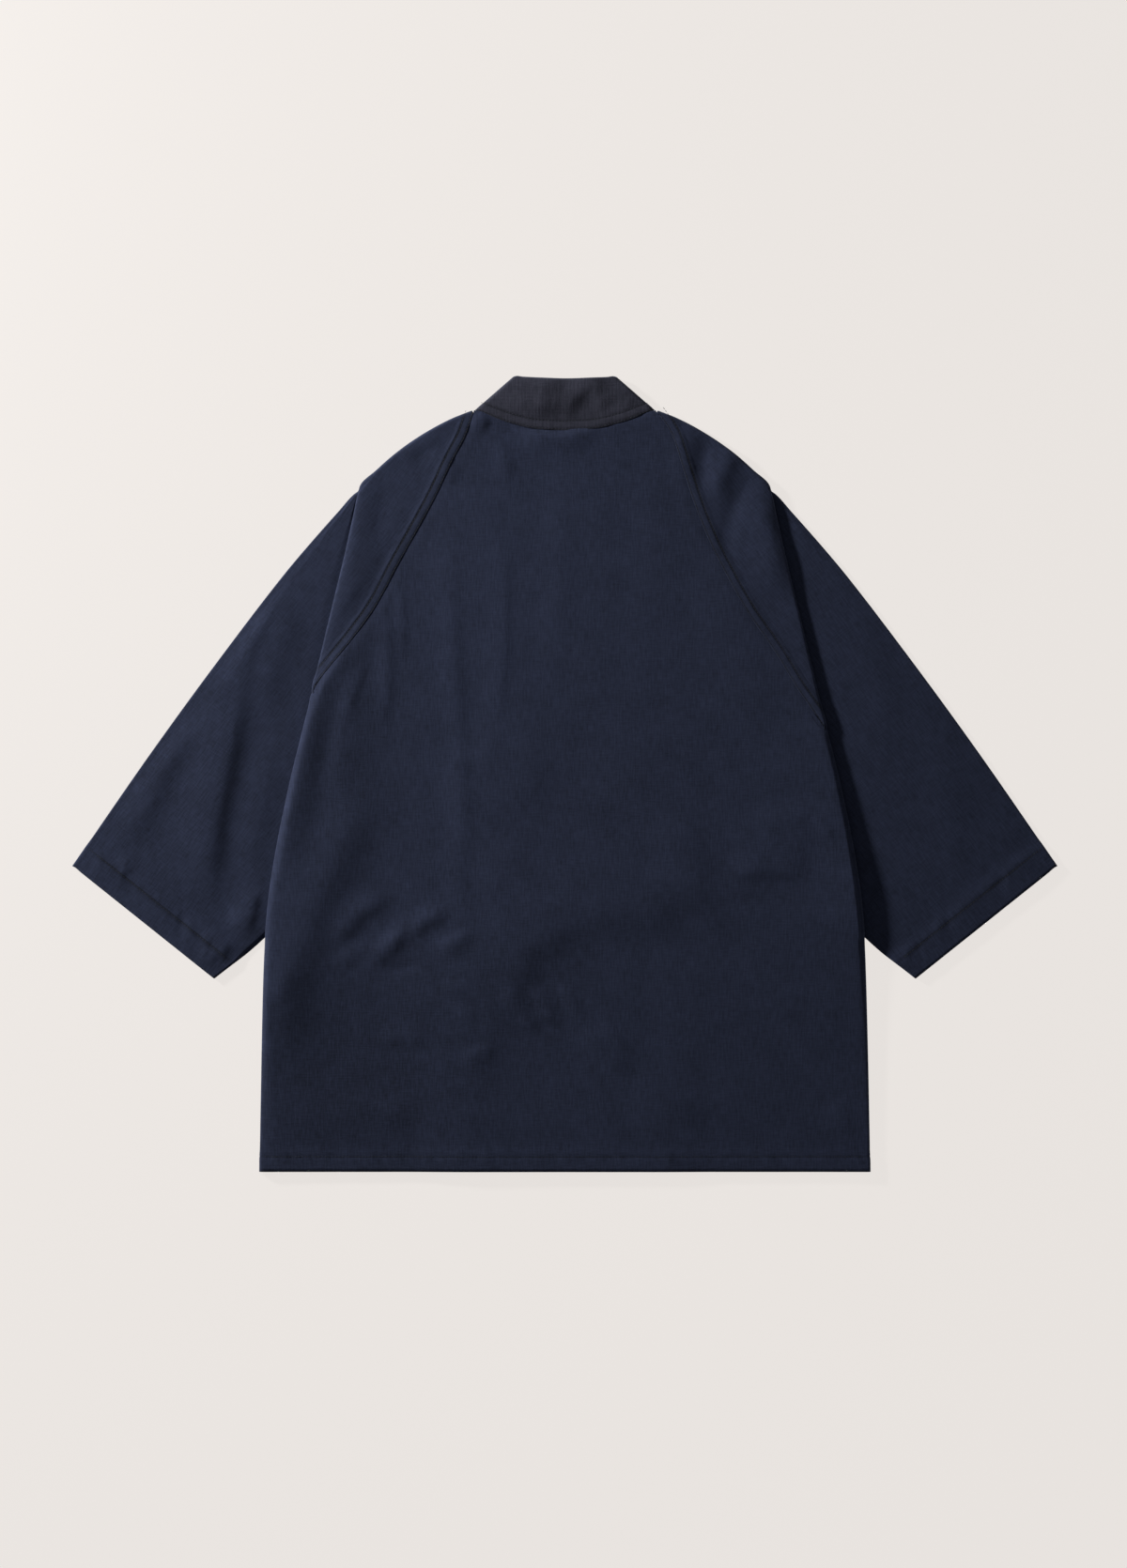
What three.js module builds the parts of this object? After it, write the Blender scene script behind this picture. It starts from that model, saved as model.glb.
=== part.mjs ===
// A noragi jacket laid flat with its back up, in millimetres: x to the wearer's right, y towards the
// collar, z up from the surface it lies on. Lengths "out" run from the middle of the jacket to a side
// and lengths "up" run along y, so one table of points serves both halves.
import * as THREE from "three";

// Cloth
const CLOTH = 1.0; // wall of one ply of the body cloth
const BAND_WALL = 1.8; // the collar band is folded double
const HEM_WALL = 1.6; // a hem is turned twice
const LAYER_GAP = 0.5; // air between plies that lie on each other
const SOFT_AIR = 1.2; // more air under the top ply, for its troughs to sink into
const SEAM_GAP = 0.3; // between two pieces at a seam

// Whole garment
const HALF_LENGTH = 406; // from the middle of the laid-out garment to its hem, and to the collar's top
const HALF_HEM = 312;
const BAND_WIDTH = 52; // collar band, seam to free edge
const BODY_HEM = 17;
const CUFF_HEM = 26;

// Heights of the middle of each ply over the surface
const LAYER = CLOTH + LAYER_GAP;
const FLOOR_PLY = CLOTH / 2; // fronts and front half of the sleeves
const SLEEVE_PLY = FLOOR_PLY + LAYER; // back half of the sleeves
const TUCK_PLY = SLEEVE_PLY + LAYER; // cloth turned under at the side folds
const BACK_PLY = TUCK_PLY + LAYER + SOFT_AIR; // back, and the sleeve heads beside it
const LAP_RISE = 2.2; // how far the right front rises to lap over the left one's band

// Landmarks, as out and up
const PLEAT_TOP = { out: 210, up: 292 }; // the side fold starts here, on the overarm edge
const ARMPIT = { out: 195, up: -8 }; // hidden under the back
const BODY_EXIT = -167; // height where the sleeve comes out from under the body's side
const COLLAR_CORNER = { out: 92, up: 371.5 }; // the collar band folds to the front between these two
const COLLAR_TIP = { out: 54, up: 406 };
const SLEEVE_NECK = 332; // height on the front neckline where the sleeve head ends

// Each table is a line on the laid-out garment, from the collar down.
const OVERARM = [
  { out: 95, up: 371 },
  { out: 104, up: 368 },
  { out: 124, up: 359 },
  { out: 142, up: 349 },
  { out: 170, up: 330 },
  { out: 192, up: 311 },
  { out: 210, up: 292 },
  { out: 245, up: 253 },
  { out: 278, up: 215 },
  { out: 352, up: 119 },
  { out: 422, up: 23 },
  { out: 503, up: -94 },
];
const SIDE_FOLD = [
  { out: 210, up: 292 },
  { out: 224, up: 228 },
  { out: 244, up: 145 },
  { out: 263, up: 64 },
  { out: 281, up: -9 },
  { out: 296, up: -83 },
  { out: 303, up: -130 },
  { out: 306, up: -167 },
  { out: 309, up: -260 },
  { out: HALF_HEM, up: -HALF_LENGTH },
];
const TUCK_FOLD = [
  { out: 210, up: 292 },
  { out: 208, up: 200 },
  { out: 203, up: 90 },
  { out: 195, up: -8 },
];
// Front armhole seam as far as the armpit, then the underarm edge of the sleeve.
const FRONT_ARMHOLE = [
  { out: 84.3, up: 332 },
  { out: 93, up: 298 },
  { out: 106, up: 250 },
  { out: 123, up: 190 },
  { out: 142, up: 130 },
  { out: 164, up: 65 },
  { out: 195, up: -8 },
  { out: 228, up: -62 },
  { out: 266, up: -120 },
  { out: 307, up: -168 },
  { out: 358, up: -209 },
];
const BAND_SEAM = [
  { out: 92, up: 371.5 },
  { out: 84, up: 332 },
  { out: 63, up: 235 },
  { out: 42, up: 137 },
  { out: 20, up: 35 },
  { out: 6, up: -35 },
  { out: 0, up: -90 },
  { out: 0, up: -200 },
  { out: 0, up: -HALF_LENGTH },
];
const NECK_SEAM = [
  { out: 0, up: 350.5 },
  { out: 28, up: 352 },
  { out: 57, up: 358.5 },
  { out: 75, up: 365 },
  { out: 92, up: 371.5 },
];
// The back armhole seams run a little differently on the two sides, and each ends at its side fold.
const SIDES = [
  {
    name: "left",
    sign: -1,
    foldRoll: 2.2,
    seam: [
      { out: 92.3, up: 371 },
      { out: 100, up: 347 },
      { out: 113, up: 322 },
      { out: 132, up: 282 },
      { out: 146, up: 256 },
      { out: 169, up: 215 },
      { out: 193, up: 170 },
      { out: 216, up: 138 },
      { out: 239, up: 110 },
      { out: 252.5, up: 93.5 },
    ],
  },
  {
    name: "right",
    sign: 1,
    foldRoll: 4.2,
    seam: [
      { out: 92.3, up: 371 },
      { out: 108, up: 348 },
      { out: 120, up: 312 },
      { out: 132, up: 275 },
      { out: 147, up: 238 },
      { out: 164, up: 204 },
      { out: 186, up: 165 },
      { out: 213, up: 126 },
      { out: 238, up: 84 },
      { out: 258.5, up: 62 },
    ],
  },
];

// Sections across a sleeve, from the neck to the cuff. Heights are given on the overarm edge and on the
// front armhole; seam and fold are shares of the back armhole seam and of the side fold above its end.
const HEAD_SECTIONS = [
  { outer: 369.5, inner: 332, seam: 0 },
  { outer: 364, inner: 318, seam: 0.07 },
  { outer: 350, inner: 299, seam: 0.16 },
  { outer: 331, inner: 275, seam: 0.27 },
  { outer: 311, inner: 250, seam: 0.38 },
  { outer: 292, inner: 224, seam: 0.48 },
];
const PLEAT_SECTIONS = [
  { outer: 268, inner: 198, seam: 0.58, fold: 0.13, tuck: 258 },
  { outer: 240, inner: 170, seam: 0.68, fold: 0.32, tuck: 226 },
  { outer: 210, inner: 140, seam: 0.78, fold: 0.53, tuck: 190 },
  { outer: 180, inner: 108, seam: 0.87, fold: 0.73, tuck: 154 },
  { outer: 150, inner: 78, seam: 0.94, fold: 0.88, tuck: 118 },
  { outer: 120, inner: 48, seam: 1, fold: 1, tuck: 80 },
];
const TUCKED_SECTIONS = [
  { outer: 112, inner: 41, tuck: 68, hidden: 0.16 },
  { outer: 90, inner: 18, tuck: 36, hidden: 0.55 },
  { outer: 72, inner: 1, tuck: 8, hidden: 0.88 },
];
const FOREARM_SECTIONS = [
  { outer: 62, inner: -8, tail: 5 },
  { outer: 40, inner: -36, tail: 30 },
  { outer: 14, inner: -78, tail: 60 },
  { outer: -12, inner: -120, tail: 90 },
  { outer: -36, inner: -156, tail: 110 },
  { outer: -60, inner: -184, tail: 110 },
];

// How many steps each stretch of a section takes
const STEPS = { floor: 5, turn: 5, run: 7, tuck: 3, head: 6 };
const BACK_STEPS = 12; // from the middle of the back to a side
const DROP_STEPS = 3;

// Soft folds in the cloth that lies on top: a ridge has a positive rise and a trough a negative one.
const FOLDS = [
  { name: "side trough", x0: -196, y0: 10, x1: -262, y1: -190, width: 26, rise: -1.6 },
  { name: "side ridge", x0: -236, y0: 60, x1: -286, y1: -120, width: 15, rise: 1.4 },
  { name: "waist pillow", x0: -175, y0: -135, x1: -150, y1: -165, width: 24, rise: 2.0 },
  { name: "waist ridge", x0: -215, y0: -100, x1: -185, y1: -150, width: 16, rise: 1.6 },
  { name: "long ridge", x0: -112, y0: 230, x1: -108, y1: -110, width: 20, rise: 1.4 },
  { name: "blade ridge", x0: -170, y0: 150, x1: -180, y1: -20, width: 22, rise: 1.3 },
  { name: "right blade ridge", x0: 150, y0: 120, x1: 215, y1: -60, width: 34, rise: 1.5 },
  { name: "right hip ridge", x0: 230, y0: -70, x1: 285, y1: -90, width: 24, rise: 1.8 },
  { name: "right hip trough", x0: 205, y0: -130, x1: 275, y1: -120, width: 16, rise: -1.0 },
  { name: "middle swell", x0: -20, y0: 30, x1: 90, y1: -60, width: 70, rise: 1.2 },
  { name: "lower trough", x0: 40, y0: -190, x1: -90, y1: -260, width: 50, rise: -0.4 },
  { name: "neck hollow", x0: -26, y0: 325, x1: 26, y1: 325, width: 24, rise: -1.0 },
  { name: "left head swell", x0: -190, y0: 262, x1: -222, y1: 165, width: 20, rise: 2.2 },
  { name: "right head lobe", x0: 152, y0: 322, x1: 146, y1: 262, width: 17, rise: 2.6 },
  { name: "right head ridge", x0: 196, y0: 268, x1: 204, y1: 180, width: 20, rise: 2.6 },
];
const SLEEVE_FOLDS = [
  { name: "left sleeve ridge", x0: -350, y0: 86, x1: -372, y1: -110, width: 17, rise: 2.6 },
  { name: "left sleeve inner ridge", x0: -318, y0: 60, x1: -334, y1: -110, width: 16, rise: 1.8 },
  { name: "left sleeve outer ridge", x0: -404, y0: 20, x1: -452, y1: -70, width: 15, rise: 1.6 },
  { name: "left overarm swell", x0: -286, y0: 172, x1: -330, y1: 108, width: 16, rise: 1.6 },
  { name: "right overarm swell", x0: 330, y0: 100, x1: 420, y1: -40, width: 40, rise: 1.8 },
];

const clamp01 = (value) => Math.min(1, Math.max(0, value));
const mix = (a, b, share) => a + (b - a) * share;

function smoothStep(from, to, value) {
  const share = clamp01((value - from) / (to - from));
  return share * share * (3 - 2 * share);
}

// A smooth line through a table of points, read as one column against another that only rises or falls.
function lineThrough(points, read = "out", along = "up") {
  const sorted = [...points].sort((a, b) => a[along] - b[along]);
  const at = sorted.map((p) => p[along]);
  const value = sorted.map((p) => p[read]);
  const slope = value.slice(1).map((v, i) => (v - value[i]) / (at[i + 1] - at[i]));
  const tangent = value.map((_, i) => {
    if (i === 0) return slope[0];
    if (i === value.length - 1) return slope[i - 1];
    if (slope[i - 1] * slope[i] <= 0) return 0;
    return (2 * slope[i - 1] * slope[i]) / (slope[i - 1] + slope[i]);
  });
  return (x) => {
    let i = at.findIndex((a) => a >= x) - 1;
    if (x >= at[at.length - 1]) i = at.length - 2;
    i = Math.max(0, i);
    const span = at[i + 1] - at[i];
    const s = clamp01((x - at[i]) / span);
    const cubic = s * s * (3 - 2 * s);
    const bend = span * s * (1 - s) * ((1 - s) * tangent[i] - s * tangent[i + 1]);
    return mix(value[i], value[i + 1], cubic) + bend;
  };
}

const overarmOut = lineThrough(OVERARM);
const sideFoldOut = lineThrough(SIDE_FOLD);
const tuckFoldOut = lineThrough(TUCK_FOLD);
const armholeOut = lineThrough(FRONT_ARMHOLE);
const bandSeamOut = lineThrough(BAND_SEAM);
const neckSeamUp = lineThrough(NECK_SEAM, "up", "out");

// Where the back and the front are sewn together: under the side, a little in from the fold.
const SEAM_INSET = 9;
const WRAP_INSET = 7.6;
const WRAP_CLEARANCE = 1.7; // from the sleeve's underarm edge to the back that is wrapped round it
const ARMPIT_CLEARANCE = 3.4;
const WRAP_SLOPE = 2.5; // how far in the wrapped cloth runs on its way down to the floor
function sideSeamOut(up) {
  return Math.min(armholeOut(up) - WRAP_INSET, sideFoldOut(up) - SEAM_INSET);
}

// The direction that points away from the garment, square to a line.
function outward(line, up) {
  const step = 1;
  const lean = (line(up + step) - line(up - step)) / (2 * step);
  return new THREE.Vector2(1, -lean).normalize();
}

function edgePoint(line, up) {
  return new THREE.Vector2(line(up), up);
}

function foldRise(folds, x, y) {
  let total = 0;
  for (const fold of folds) {
    const dx = fold.x1 - fold.x0;
    const dy = fold.y1 - fold.y0;
    const length = Math.hypot(dx, dy);
    const along = ((x - fold.x0) * dx + (y - fold.y0) * dy) / length;
    const past = Math.max(0, -along, along - length);
    const beside = ((x - fold.x0) * dy - (y - fold.y0) * dx) / length;
    total += fold.rise * Math.exp(-(beside ** 2) / fold.width ** 2 - past ** 2 / (4 * fold.width ** 2));
  }
  return total;
}

// Height of the ply on top. It rolls up at the side folds and comes down towards the hem's corners.
const ROLL_REACH = 26;
const ROLL_RISE = { from: 302, to: -40 };
const ROLL_FALL = { from: -170, to: -330 };
const HEM_SETTLE = { from: -150, to: -370, inner: 90, outer: 170, drop: 2.1 };
function backHeight(out, up, side) {
  const fromFold = Math.max(0, sideFoldOut(up) - out);
  const rollFade =
    smoothStep(ROLL_RISE.from, ROLL_RISE.to, up) * (1 - smoothStep(ROLL_FALL.from, ROLL_FALL.to, up));
  const roll = side.foldRoll * rollFade * Math.exp(-((fromFold / ROLL_REACH) ** 2));
  const settle =
    HEM_SETTLE.drop *
    smoothStep(HEM_SETTLE.from, HEM_SETTLE.to, up) *
    smoothStep(HEM_SETTLE.inner, HEM_SETTLE.outer, out);
  return BACK_PLY + roll - settle + foldRise(FOLDS, side.sign * out, up);
}

// A run of points from one plan point to another. The last one is left to what follows.
function run(from, to, steps, heightAt) {
  return Array.from({ length: steps }, (_, i) => {
    const share = i / steps;
    const out = mix(from.x, to.x, share);
    const up = mix(from.y, to.y, share);
    return new THREE.Vector3(out, up, heightAt(out, up, share));
  });
}

// The middle of a fold's round, just inside the fold's edge.
function foldCentre(edge, away, low, high) {
  const radius = Math.abs(high - low) / 2;
  return edge.clone().addScaledVector(away, -(radius + CLOTH / 2));
}

// The round of a fold, from one height to the other. The last point is left to what follows.
function turn(edge, away, from, to, steps) {
  const centre = foldCentre(edge, away, from, to);
  const radius = Math.abs(to - from) / 2;
  return Array.from({ length: steps }, (_, i) => {
    const angle = (Math.PI * i) / steps;
    const reach = radius * Math.sin(angle);
    const height = (from + to) / 2 - ((to - from) / 2) * Math.cos(angle);
    return new THREE.Vector3(centre.x + away.x * reach, centre.y + away.y * reach, height);
  });
}

// A closed wall of cloth: each point of its middle surface is moved half the wall to either side.
function clothWall(rows, wallAt) {
  const last = rows.length - 1;
  const end = rows[0].length - 1;
  const positions = [];
  for (const face of [1, -1]) {
    rows.forEach((row, i) =>
      row.forEach((point, j) => {
        const across = row[Math.min(j + 1, end)].clone().sub(row[Math.max(j - 1, 0)]);
        const along = rows[Math.min(i + 1, last)][j].clone().sub(rows[Math.max(i - 1, 0)][j]);
        const away = across.cross(along).normalize();
        const moved = point.clone().addScaledVector(away, (face * wallAt(i, j)) / 2);
        positions.push(moved.x, moved.y, Math.max(0, moved.z));
      }),
    );
  }
  const width = end + 1;
  const other = rows.length * width;
  const index = [];
  const quad = (a, b, c, d) => index.push(a, b, c, a, c, d);
  for (let i = 0; i < last; i++) {
    for (let j = 0; j < end; j++) {
      const a = i * width + j;
      quad(a, a + 1, a + width + 1, a + width);
      quad(other + a, other + a + width, other + a + width + 1, other + a + 1);
    }
    const first = i * width;
    quad(first, first + width, other + first + width, other + first);
    const far = first + end;
    quad(far, other + far, other + far + width, far + width);
  }
  for (let j = 0; j < end; j++) {
    quad(j, other + j, other + j + 1, j + 1);
    const foot = last * width + j;
    quad(foot, foot + 1, other + foot + 1, other + foot);
  }
  const geometry = new THREE.BufferGeometry();
  geometry.setAttribute("position", new THREE.Float32BufferAttribute(positions, 3));
  geometry.setIndex(index);
  return facingOut(geometry);
}

function facingOut(geometry) {
  const position = geometry.getAttribute("position");
  const index = geometry.getIndex().array;
  const [a, b, c] = [new THREE.Vector3(), new THREE.Vector3(), new THREE.Vector3()];
  let volume = 0;
  for (let i = 0; i < index.length; i += 3) {
    a.fromBufferAttribute(position, index[i]);
    b.fromBufferAttribute(position, index[i + 1]);
    c.fromBufferAttribute(position, index[i + 2]);
    volume += a.dot(b.cross(c)) / 6;
  }
  if (volume < 0) {
    for (let i = 0; i < index.length; i += 3) {
      [index[i + 1], index[i + 2]] = [index[i + 2], index[i + 1]];
    }
  }
  geometry.computeVertexNormals();
  return geometry;
}

// A side's rows hold out, up and height. This puts them in the garment's frame.
function placed(rows, side) {
  return rows.map((row) => row.map((p) => new THREE.Vector3(side.sign * p.x, p.y, p.z)));
}

// Sleeve

function seamLine(side) {
  const top = side.seam[0].up;
  const foot = side.seam[side.seam.length - 1].up;
  const line = lineThrough(side.seam);
  return { line, foot, at: (share) => mix(top, foot, share) };
}

// The back armhole seam, as a plan point moved by half the seam's gap. toSleeve is 1 or -1.
function armholePoint(side, share, toSleeve) {
  const { line, at } = seamLine(side);
  const up = at(share);
  return edgePoint(line, up).addScaledVector(outward(line, up), (toSleeve * SEAM_GAP) / 2);
}

function innerPoint(up) {
  return edgePoint(armholeOut, up).addScaledVector(outward(armholeOut, up), SEAM_GAP / 2);
}

function headSection(side, section) {
  const outer = edgePoint(overarmOut, section.outer);
  const away = outward(overarmOut, section.outer);
  const inner = innerPoint(section.inner);
  const seam = armholePoint(side, section.seam, 1);
  const top = backHeight(outer.x, outer.y, side);
  const centre = foldCentre(outer, away, FLOOR_PLY, top);
  const steps = 3 * STEPS.turn + STEPS.run + STEPS.tuck; // as many points as a section with a tuck has
  return [
    ...run(inner, centre, STEPS.floor, () => FLOOR_PLY),
    ...turn(outer, away, FLOOR_PLY, top, steps),
    ...run(centre, seam, STEPS.head, (out, up) => backHeight(out, up, side)),
    new THREE.Vector3(seam.x, seam.y, backHeight(seam.x, seam.y, side)),
  ];
}

// The visible back half of a sleeve: it swells in soft folds away from its edges.
function sleeveHeight(side, out, up, share) {
  const swell = smoothStep(0, 0.12, share) * (1 - smoothStep(0.9, 1, share));
  return SLEEVE_PLY + swell * Math.max(0, foldRise(SLEEVE_FOLDS, side.sign * out, up));
}

// Sleeve plies from the front armhole round the overarm edge and in to the tuck.
function underSection(side, section) {
  const outer = edgePoint(overarmOut, section.outer);
  const away = outward(overarmOut, section.outer);
  const centre = foldCentre(outer, away, FLOOR_PLY, SLEEVE_PLY);
  const tuck = edgePoint(tuckFoldOut, section.tuck);
  const inward = outward(tuckFoldOut, section.tuck).negate();
  const tuckCentre = foldCentre(tuck, inward, SLEEVE_PLY, TUCK_PLY);
  const height = (out, up, share) => sleeveHeight(side, out, up, clamp01(share / section.visible));
  return {
    points: [
      ...run(innerPoint(section.inner), centre, STEPS.floor, () => FLOOR_PLY),
      ...turn(outer, away, FLOOR_PLY, SLEEVE_PLY, STEPS.turn),
      ...run(centre, tuckCentre, STEPS.run, height),
      ...turn(tuck, inward, SLEEVE_PLY, TUCK_PLY, STEPS.turn),
    ],
    tuckCentre,
  };
}

function pleatSection(side, section) {
  const seamEnd = seamLine(side);
  const foldUp = mix(PLEAT_TOP.up, seamEnd.foot, section.fold);
  const fold = edgePoint(sideFoldOut, foldUp);
  const away = outward(sideFoldOut, foldUp);
  const top = backHeight(fold.x, fold.y, side);
  const foldMiddle = foldCentre(fold, away, TUCK_PLY, top);
  const seam = armholePoint(side, section.seam, 1);
  const outer = edgePoint(overarmOut, section.outer);
  const tuck = edgePoint(tuckFoldOut, section.tuck);
  const visible = clamp01(outer.distanceTo(fold) / outer.distanceTo(tuck));
  const under = underSection(side, { ...section, visible });
  return [
    ...under.points,
    ...run(under.tuckCentre, foldMiddle, STEPS.tuck, () => TUCK_PLY),
    ...turn(fold, away, TUCK_PLY, top, STEPS.turn),
    ...run(foldMiddle, seam, STEPS.head, (out, up) => backHeight(out, up, side)),
    new THREE.Vector3(seam.x, seam.y, backHeight(seam.x, seam.y, side)),
  ];
}

// Under the back the armhole seam runs from the end of its visible stretch to the armpit.
function hiddenSeamPoint(side, share) {
  const { line, foot } = seamLine(side);
  return new THREE.Vector2(mix(line(foot), ARMPIT.out, share), mix(foot, ARMPIT.up, share));
}

const HIDDEN_GAP = 1.5; // between the plies turned under on either side of the hidden seam
const TAIL = 3; // the last stretch before a seam, where a section's spare points lie
const TUCKED_VISIBLE = 0.7; // share of the sleeve's back half that shows beside the back
function tuckedSection(side, section) {
  const under = underSection(side, { ...section, visible: TUCKED_VISIBLE });
  const end = hiddenSeamPoint(side, section.hidden);
  end.x -= HIDDEN_GAP;
  const direction = end.clone().sub(under.tuckCentre).normalize();
  const tailStart = end.clone().addScaledVector(direction, -TAIL);
  return [
    ...under.points,
    ...run(under.tuckCentre, tailStart, STEPS.tuck, () => TUCK_PLY),
    ...run(tailStart, end, STEPS.turn + STEPS.head, () => TUCK_PLY),
    new THREE.Vector3(end.x, end.y, TUCK_PLY),
  ];
}

const LONGEST_TAIL = 0.75; // as a share of the sleeve's width
function forearmSection(side, section) {
  const outer = edgePoint(overarmOut, section.outer);
  const away = outward(overarmOut, section.outer);
  const inner = innerPoint(section.inner);
  const thick = section.hem ? (HEM_WALL - CLOTH) / 2 : 0;
  const low = FLOOR_PLY + thick;
  const high = SLEEVE_PLY + 3 * thick;
  const centre = foldCentre(outer, away, low, high);
  const span = centre.distanceTo(inner);
  const tailShare = Math.min(section.tail / span, LONGEST_TAIL);
  const tailStart = centre.clone().lerp(inner, 1 - tailShare);
  const height = (from, to) => (out, up, share) =>
    high - SLEEVE_PLY + sleeveHeight(side, out, up, mix(from, to, share));
  const tailSteps = 2 * STEPS.turn + STEPS.tuck + STEPS.head;
  return [
    ...run(inner, centre, STEPS.floor, () => low),
    ...turn(outer, away, low, high, STEPS.turn),
    ...run(centre, tailStart, STEPS.run, height(0, 1 - tailShare)),
    ...run(tailStart, inner, tailSteps, height(1 - tailShare, 1)),
    new THREE.Vector3(inner.x, inner.y, high),
  ];
}

// The cuff's hem runs parallel to the cuff, so its sections are found from a depth up the sleeve.
const OVERARM_CLIMB = 0.826; // how much a sleeve's edge rises for each millimetre along it
const UNDERARM_CLIMB = 0.644;
const CUFF_TAIL = 110;
function cuffSection(depth, hem) {
  const cuffOuter = OVERARM[OVERARM.length - 1];
  const cuffInner = FRONT_ARMHOLE[FRONT_ARMHOLE.length - 1];
  return {
    outer: cuffOuter.up + depth * OVERARM_CLIMB,
    inner: cuffInner.up + depth * UNDERARM_CLIMB,
    tail: CUFF_TAIL,
    hem,
  };
}

const HEM_STEP = 1.2; // the hem's edge steps up over this length
const HEM_SECTIONS = 3;
function makeSleeve(side) {
  const sections = [
    ...HEAD_SECTIONS.map((s) => headSection(side, s)),
    ...PLEAT_SECTIONS.map((s) => pleatSection(side, s)),
    ...TUCKED_SECTIONS.map((s) => tuckedSection(side, s)),
    ...FOREARM_SECTIONS.map((s) => forearmSection(side, s)),
    forearmSection(side, cuffSection(CUFF_HEM + HEM_STEP, false)),
    forearmSection(side, cuffSection(CUFF_HEM, true)),
    forearmSection(side, cuffSection(CUFF_HEM / 2, true)),
    forearmSection(side, cuffSection(0, true)),
  ];
  const hemStart = sections.length - HEM_SECTIONS;
  return clothWall(placed(sections, side), (i) => (i >= hemStart ? HEM_WALL : CLOTH));
}

// Back

// Heights of the rows of points below the armhole seams, from the armpit to the hem.
const ARMPIT_ROW = -14;
const BACK_ROWS = [
  ARMPIT_ROW, -35, -63, -91, -119, -142, -156, -165.5, -168.5, -190, -215, -245, -275, -305, -335, -362,
];
const HIDDEN_ROWS = [...TUCKED_SECTIONS.map((section) => section.hidden), 1];

// How far the middle of each row lies below its ends, so that the top row follows the neck.
const NECK_DIP = [18, 13, 9, 5, 2.5, 1, 0, 0, 0, 0, 0, 0];

function halfBackRow(side, row) {
  const height = (out, up) => row.thick + backHeight(out, up, side);
  const middle = new THREE.Vector2(0, row.middle);
  const spare = STEPS.turn + STEPS.tuck + DROP_STEPS;
  if (row.share !== undefined) {
    // Beside the sleeve head the row ends flat, at the armhole seam.
    const end = armholePoint(side, row.share, -1);
    const tailStart = middle.clone().lerp(end, 1 - TAIL / end.x);
    return [
      ...run(middle, tailStart, BACK_STEPS, height),
      ...run(tailStart, end, spare, height),
      new THREE.Vector3(end.x, end.y, height(end.x, end.y)),
    ];
  }
  const fold = edgePoint(sideFoldOut, row.up);
  const away = outward(sideFoldOut, row.up);
  const top = height(fold.x, fold.y);
  const low = row.up > BODY_EXIT ? TUCK_PLY : FLOOR_PLY + row.thick;
  const centre = foldCentre(fold, away, low, top);
  const points = [
    ...run(middle, centre, BACK_STEPS, height),
    ...turn(fold, away, top, low, STEPS.turn),
  ];
  return [...points, ...turnedUnder(side, row, centre, low)];
}

// What lies under the back beside the fold: cloth turned in to the hidden armhole seam, or wrapped round
// the sleeve's underarm edge, or turned straight under to the side seam.
const ARMPIT_OVERLAY = 0.9; // the back's ply passes this far over the armpit
function turnedUnder(side, row, centre, low) {
  if (row.hidden !== undefined) {
    const end = hiddenSeamPoint(side, row.hidden);
    end.x += row.hidden === 1 ? -ARMPIT_OVERLAY : HIDDEN_GAP;
    const tailStart = new THREE.Vector2(end.x + TAIL, row.up);
    end.y = row.up;
    return [
      ...run(centre, tailStart, STEPS.tuck, () => low),
      ...run(tailStart, end, DROP_STEPS, () => low),
      new THREE.Vector3(end.x, end.y, low),
    ];
  }
  const seam = new THREE.Vector2(sideSeamOut(row.up) + SEAM_GAP / 2, row.up);
  if (row.up > BODY_EXIT) {
    const clearance = row.up === ARMPIT_ROW ? ARMPIT_CLEARANCE : WRAP_CLEARANCE;
    const brink = new THREE.Vector2(armholeOut(row.up) - clearance, row.up);
    return [
      ...run(centre, brink, STEPS.tuck, () => low),
      new THREE.Vector3(brink.x, row.up, low),
      new THREE.Vector3(brink.x - WRAP_SLOPE / 2, row.up, (low + FLOOR_PLY) / 2),
      new THREE.Vector3(brink.x - WRAP_SLOPE, row.up, FLOOR_PLY),
      new THREE.Vector3(seam.x, row.up, FLOOR_PLY),
    ];
  }
  return [
    ...run(centre, seam, STEPS.tuck + DROP_STEPS, () => low),
    new THREE.Vector3(seam.x, row.up, low),
  ];
}

function backRows() {
  const shares = [...HEAD_SECTIONS, ...PLEAT_SECTIONS].map((s) => s.seam);
  const rows = shares.map((share, i) => ({ share, dip: NECK_DIP[i], thick: 0 }));
  rows.push(...HIDDEN_ROWS.map((hidden) => ({ hidden, dip: 0, thick: 0 })));
  rows.push(...BACK_ROWS.map((up) => ({ up, dip: 0, thick: 0 })));
  const hem = -HALF_LENGTH;
  const thick = (HEM_WALL - CLOTH) / 2;
  rows.push({ up: hem + BODY_HEM + HEM_STEP, dip: 0, thick: 0 });
  rows.push({ up: hem + BODY_HEM, dip: 0, thick, hem: true });
  rows.push({ up: hem, dip: 0, thick, hem: true });
  return rows;
}

function makeBack() {
  const rows = backRows();
  const middleOf = (row) => {
    if (row.share === 0) return NECK_SEAM[0].up - SEAM_GAP / 2;
    const ends = SIDES.map((side) => rowEnd(side, row));
    return (ends[0] + ends[1]) / 2 - row.dip;
  };
  const points = rows.map((row) => {
    const middle = middleOf(row);
    const [left, right] = SIDES.map((side) => {
      const up = rowEnd(side, row);
      return placed([halfBackRow(side, { ...row, up, middle })], side)[0];
    });
    return [...left.slice(1).reverse(), ...right];
  });
  for (const point of points[0].slice(1, -1)) {
    point.y = neckSeamUp(Math.abs(point.x)) - SEAM_GAP;
  }
  return clothWall(points, (i) => (rows[i].hem ? HEM_WALL : CLOTH));
}

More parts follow.
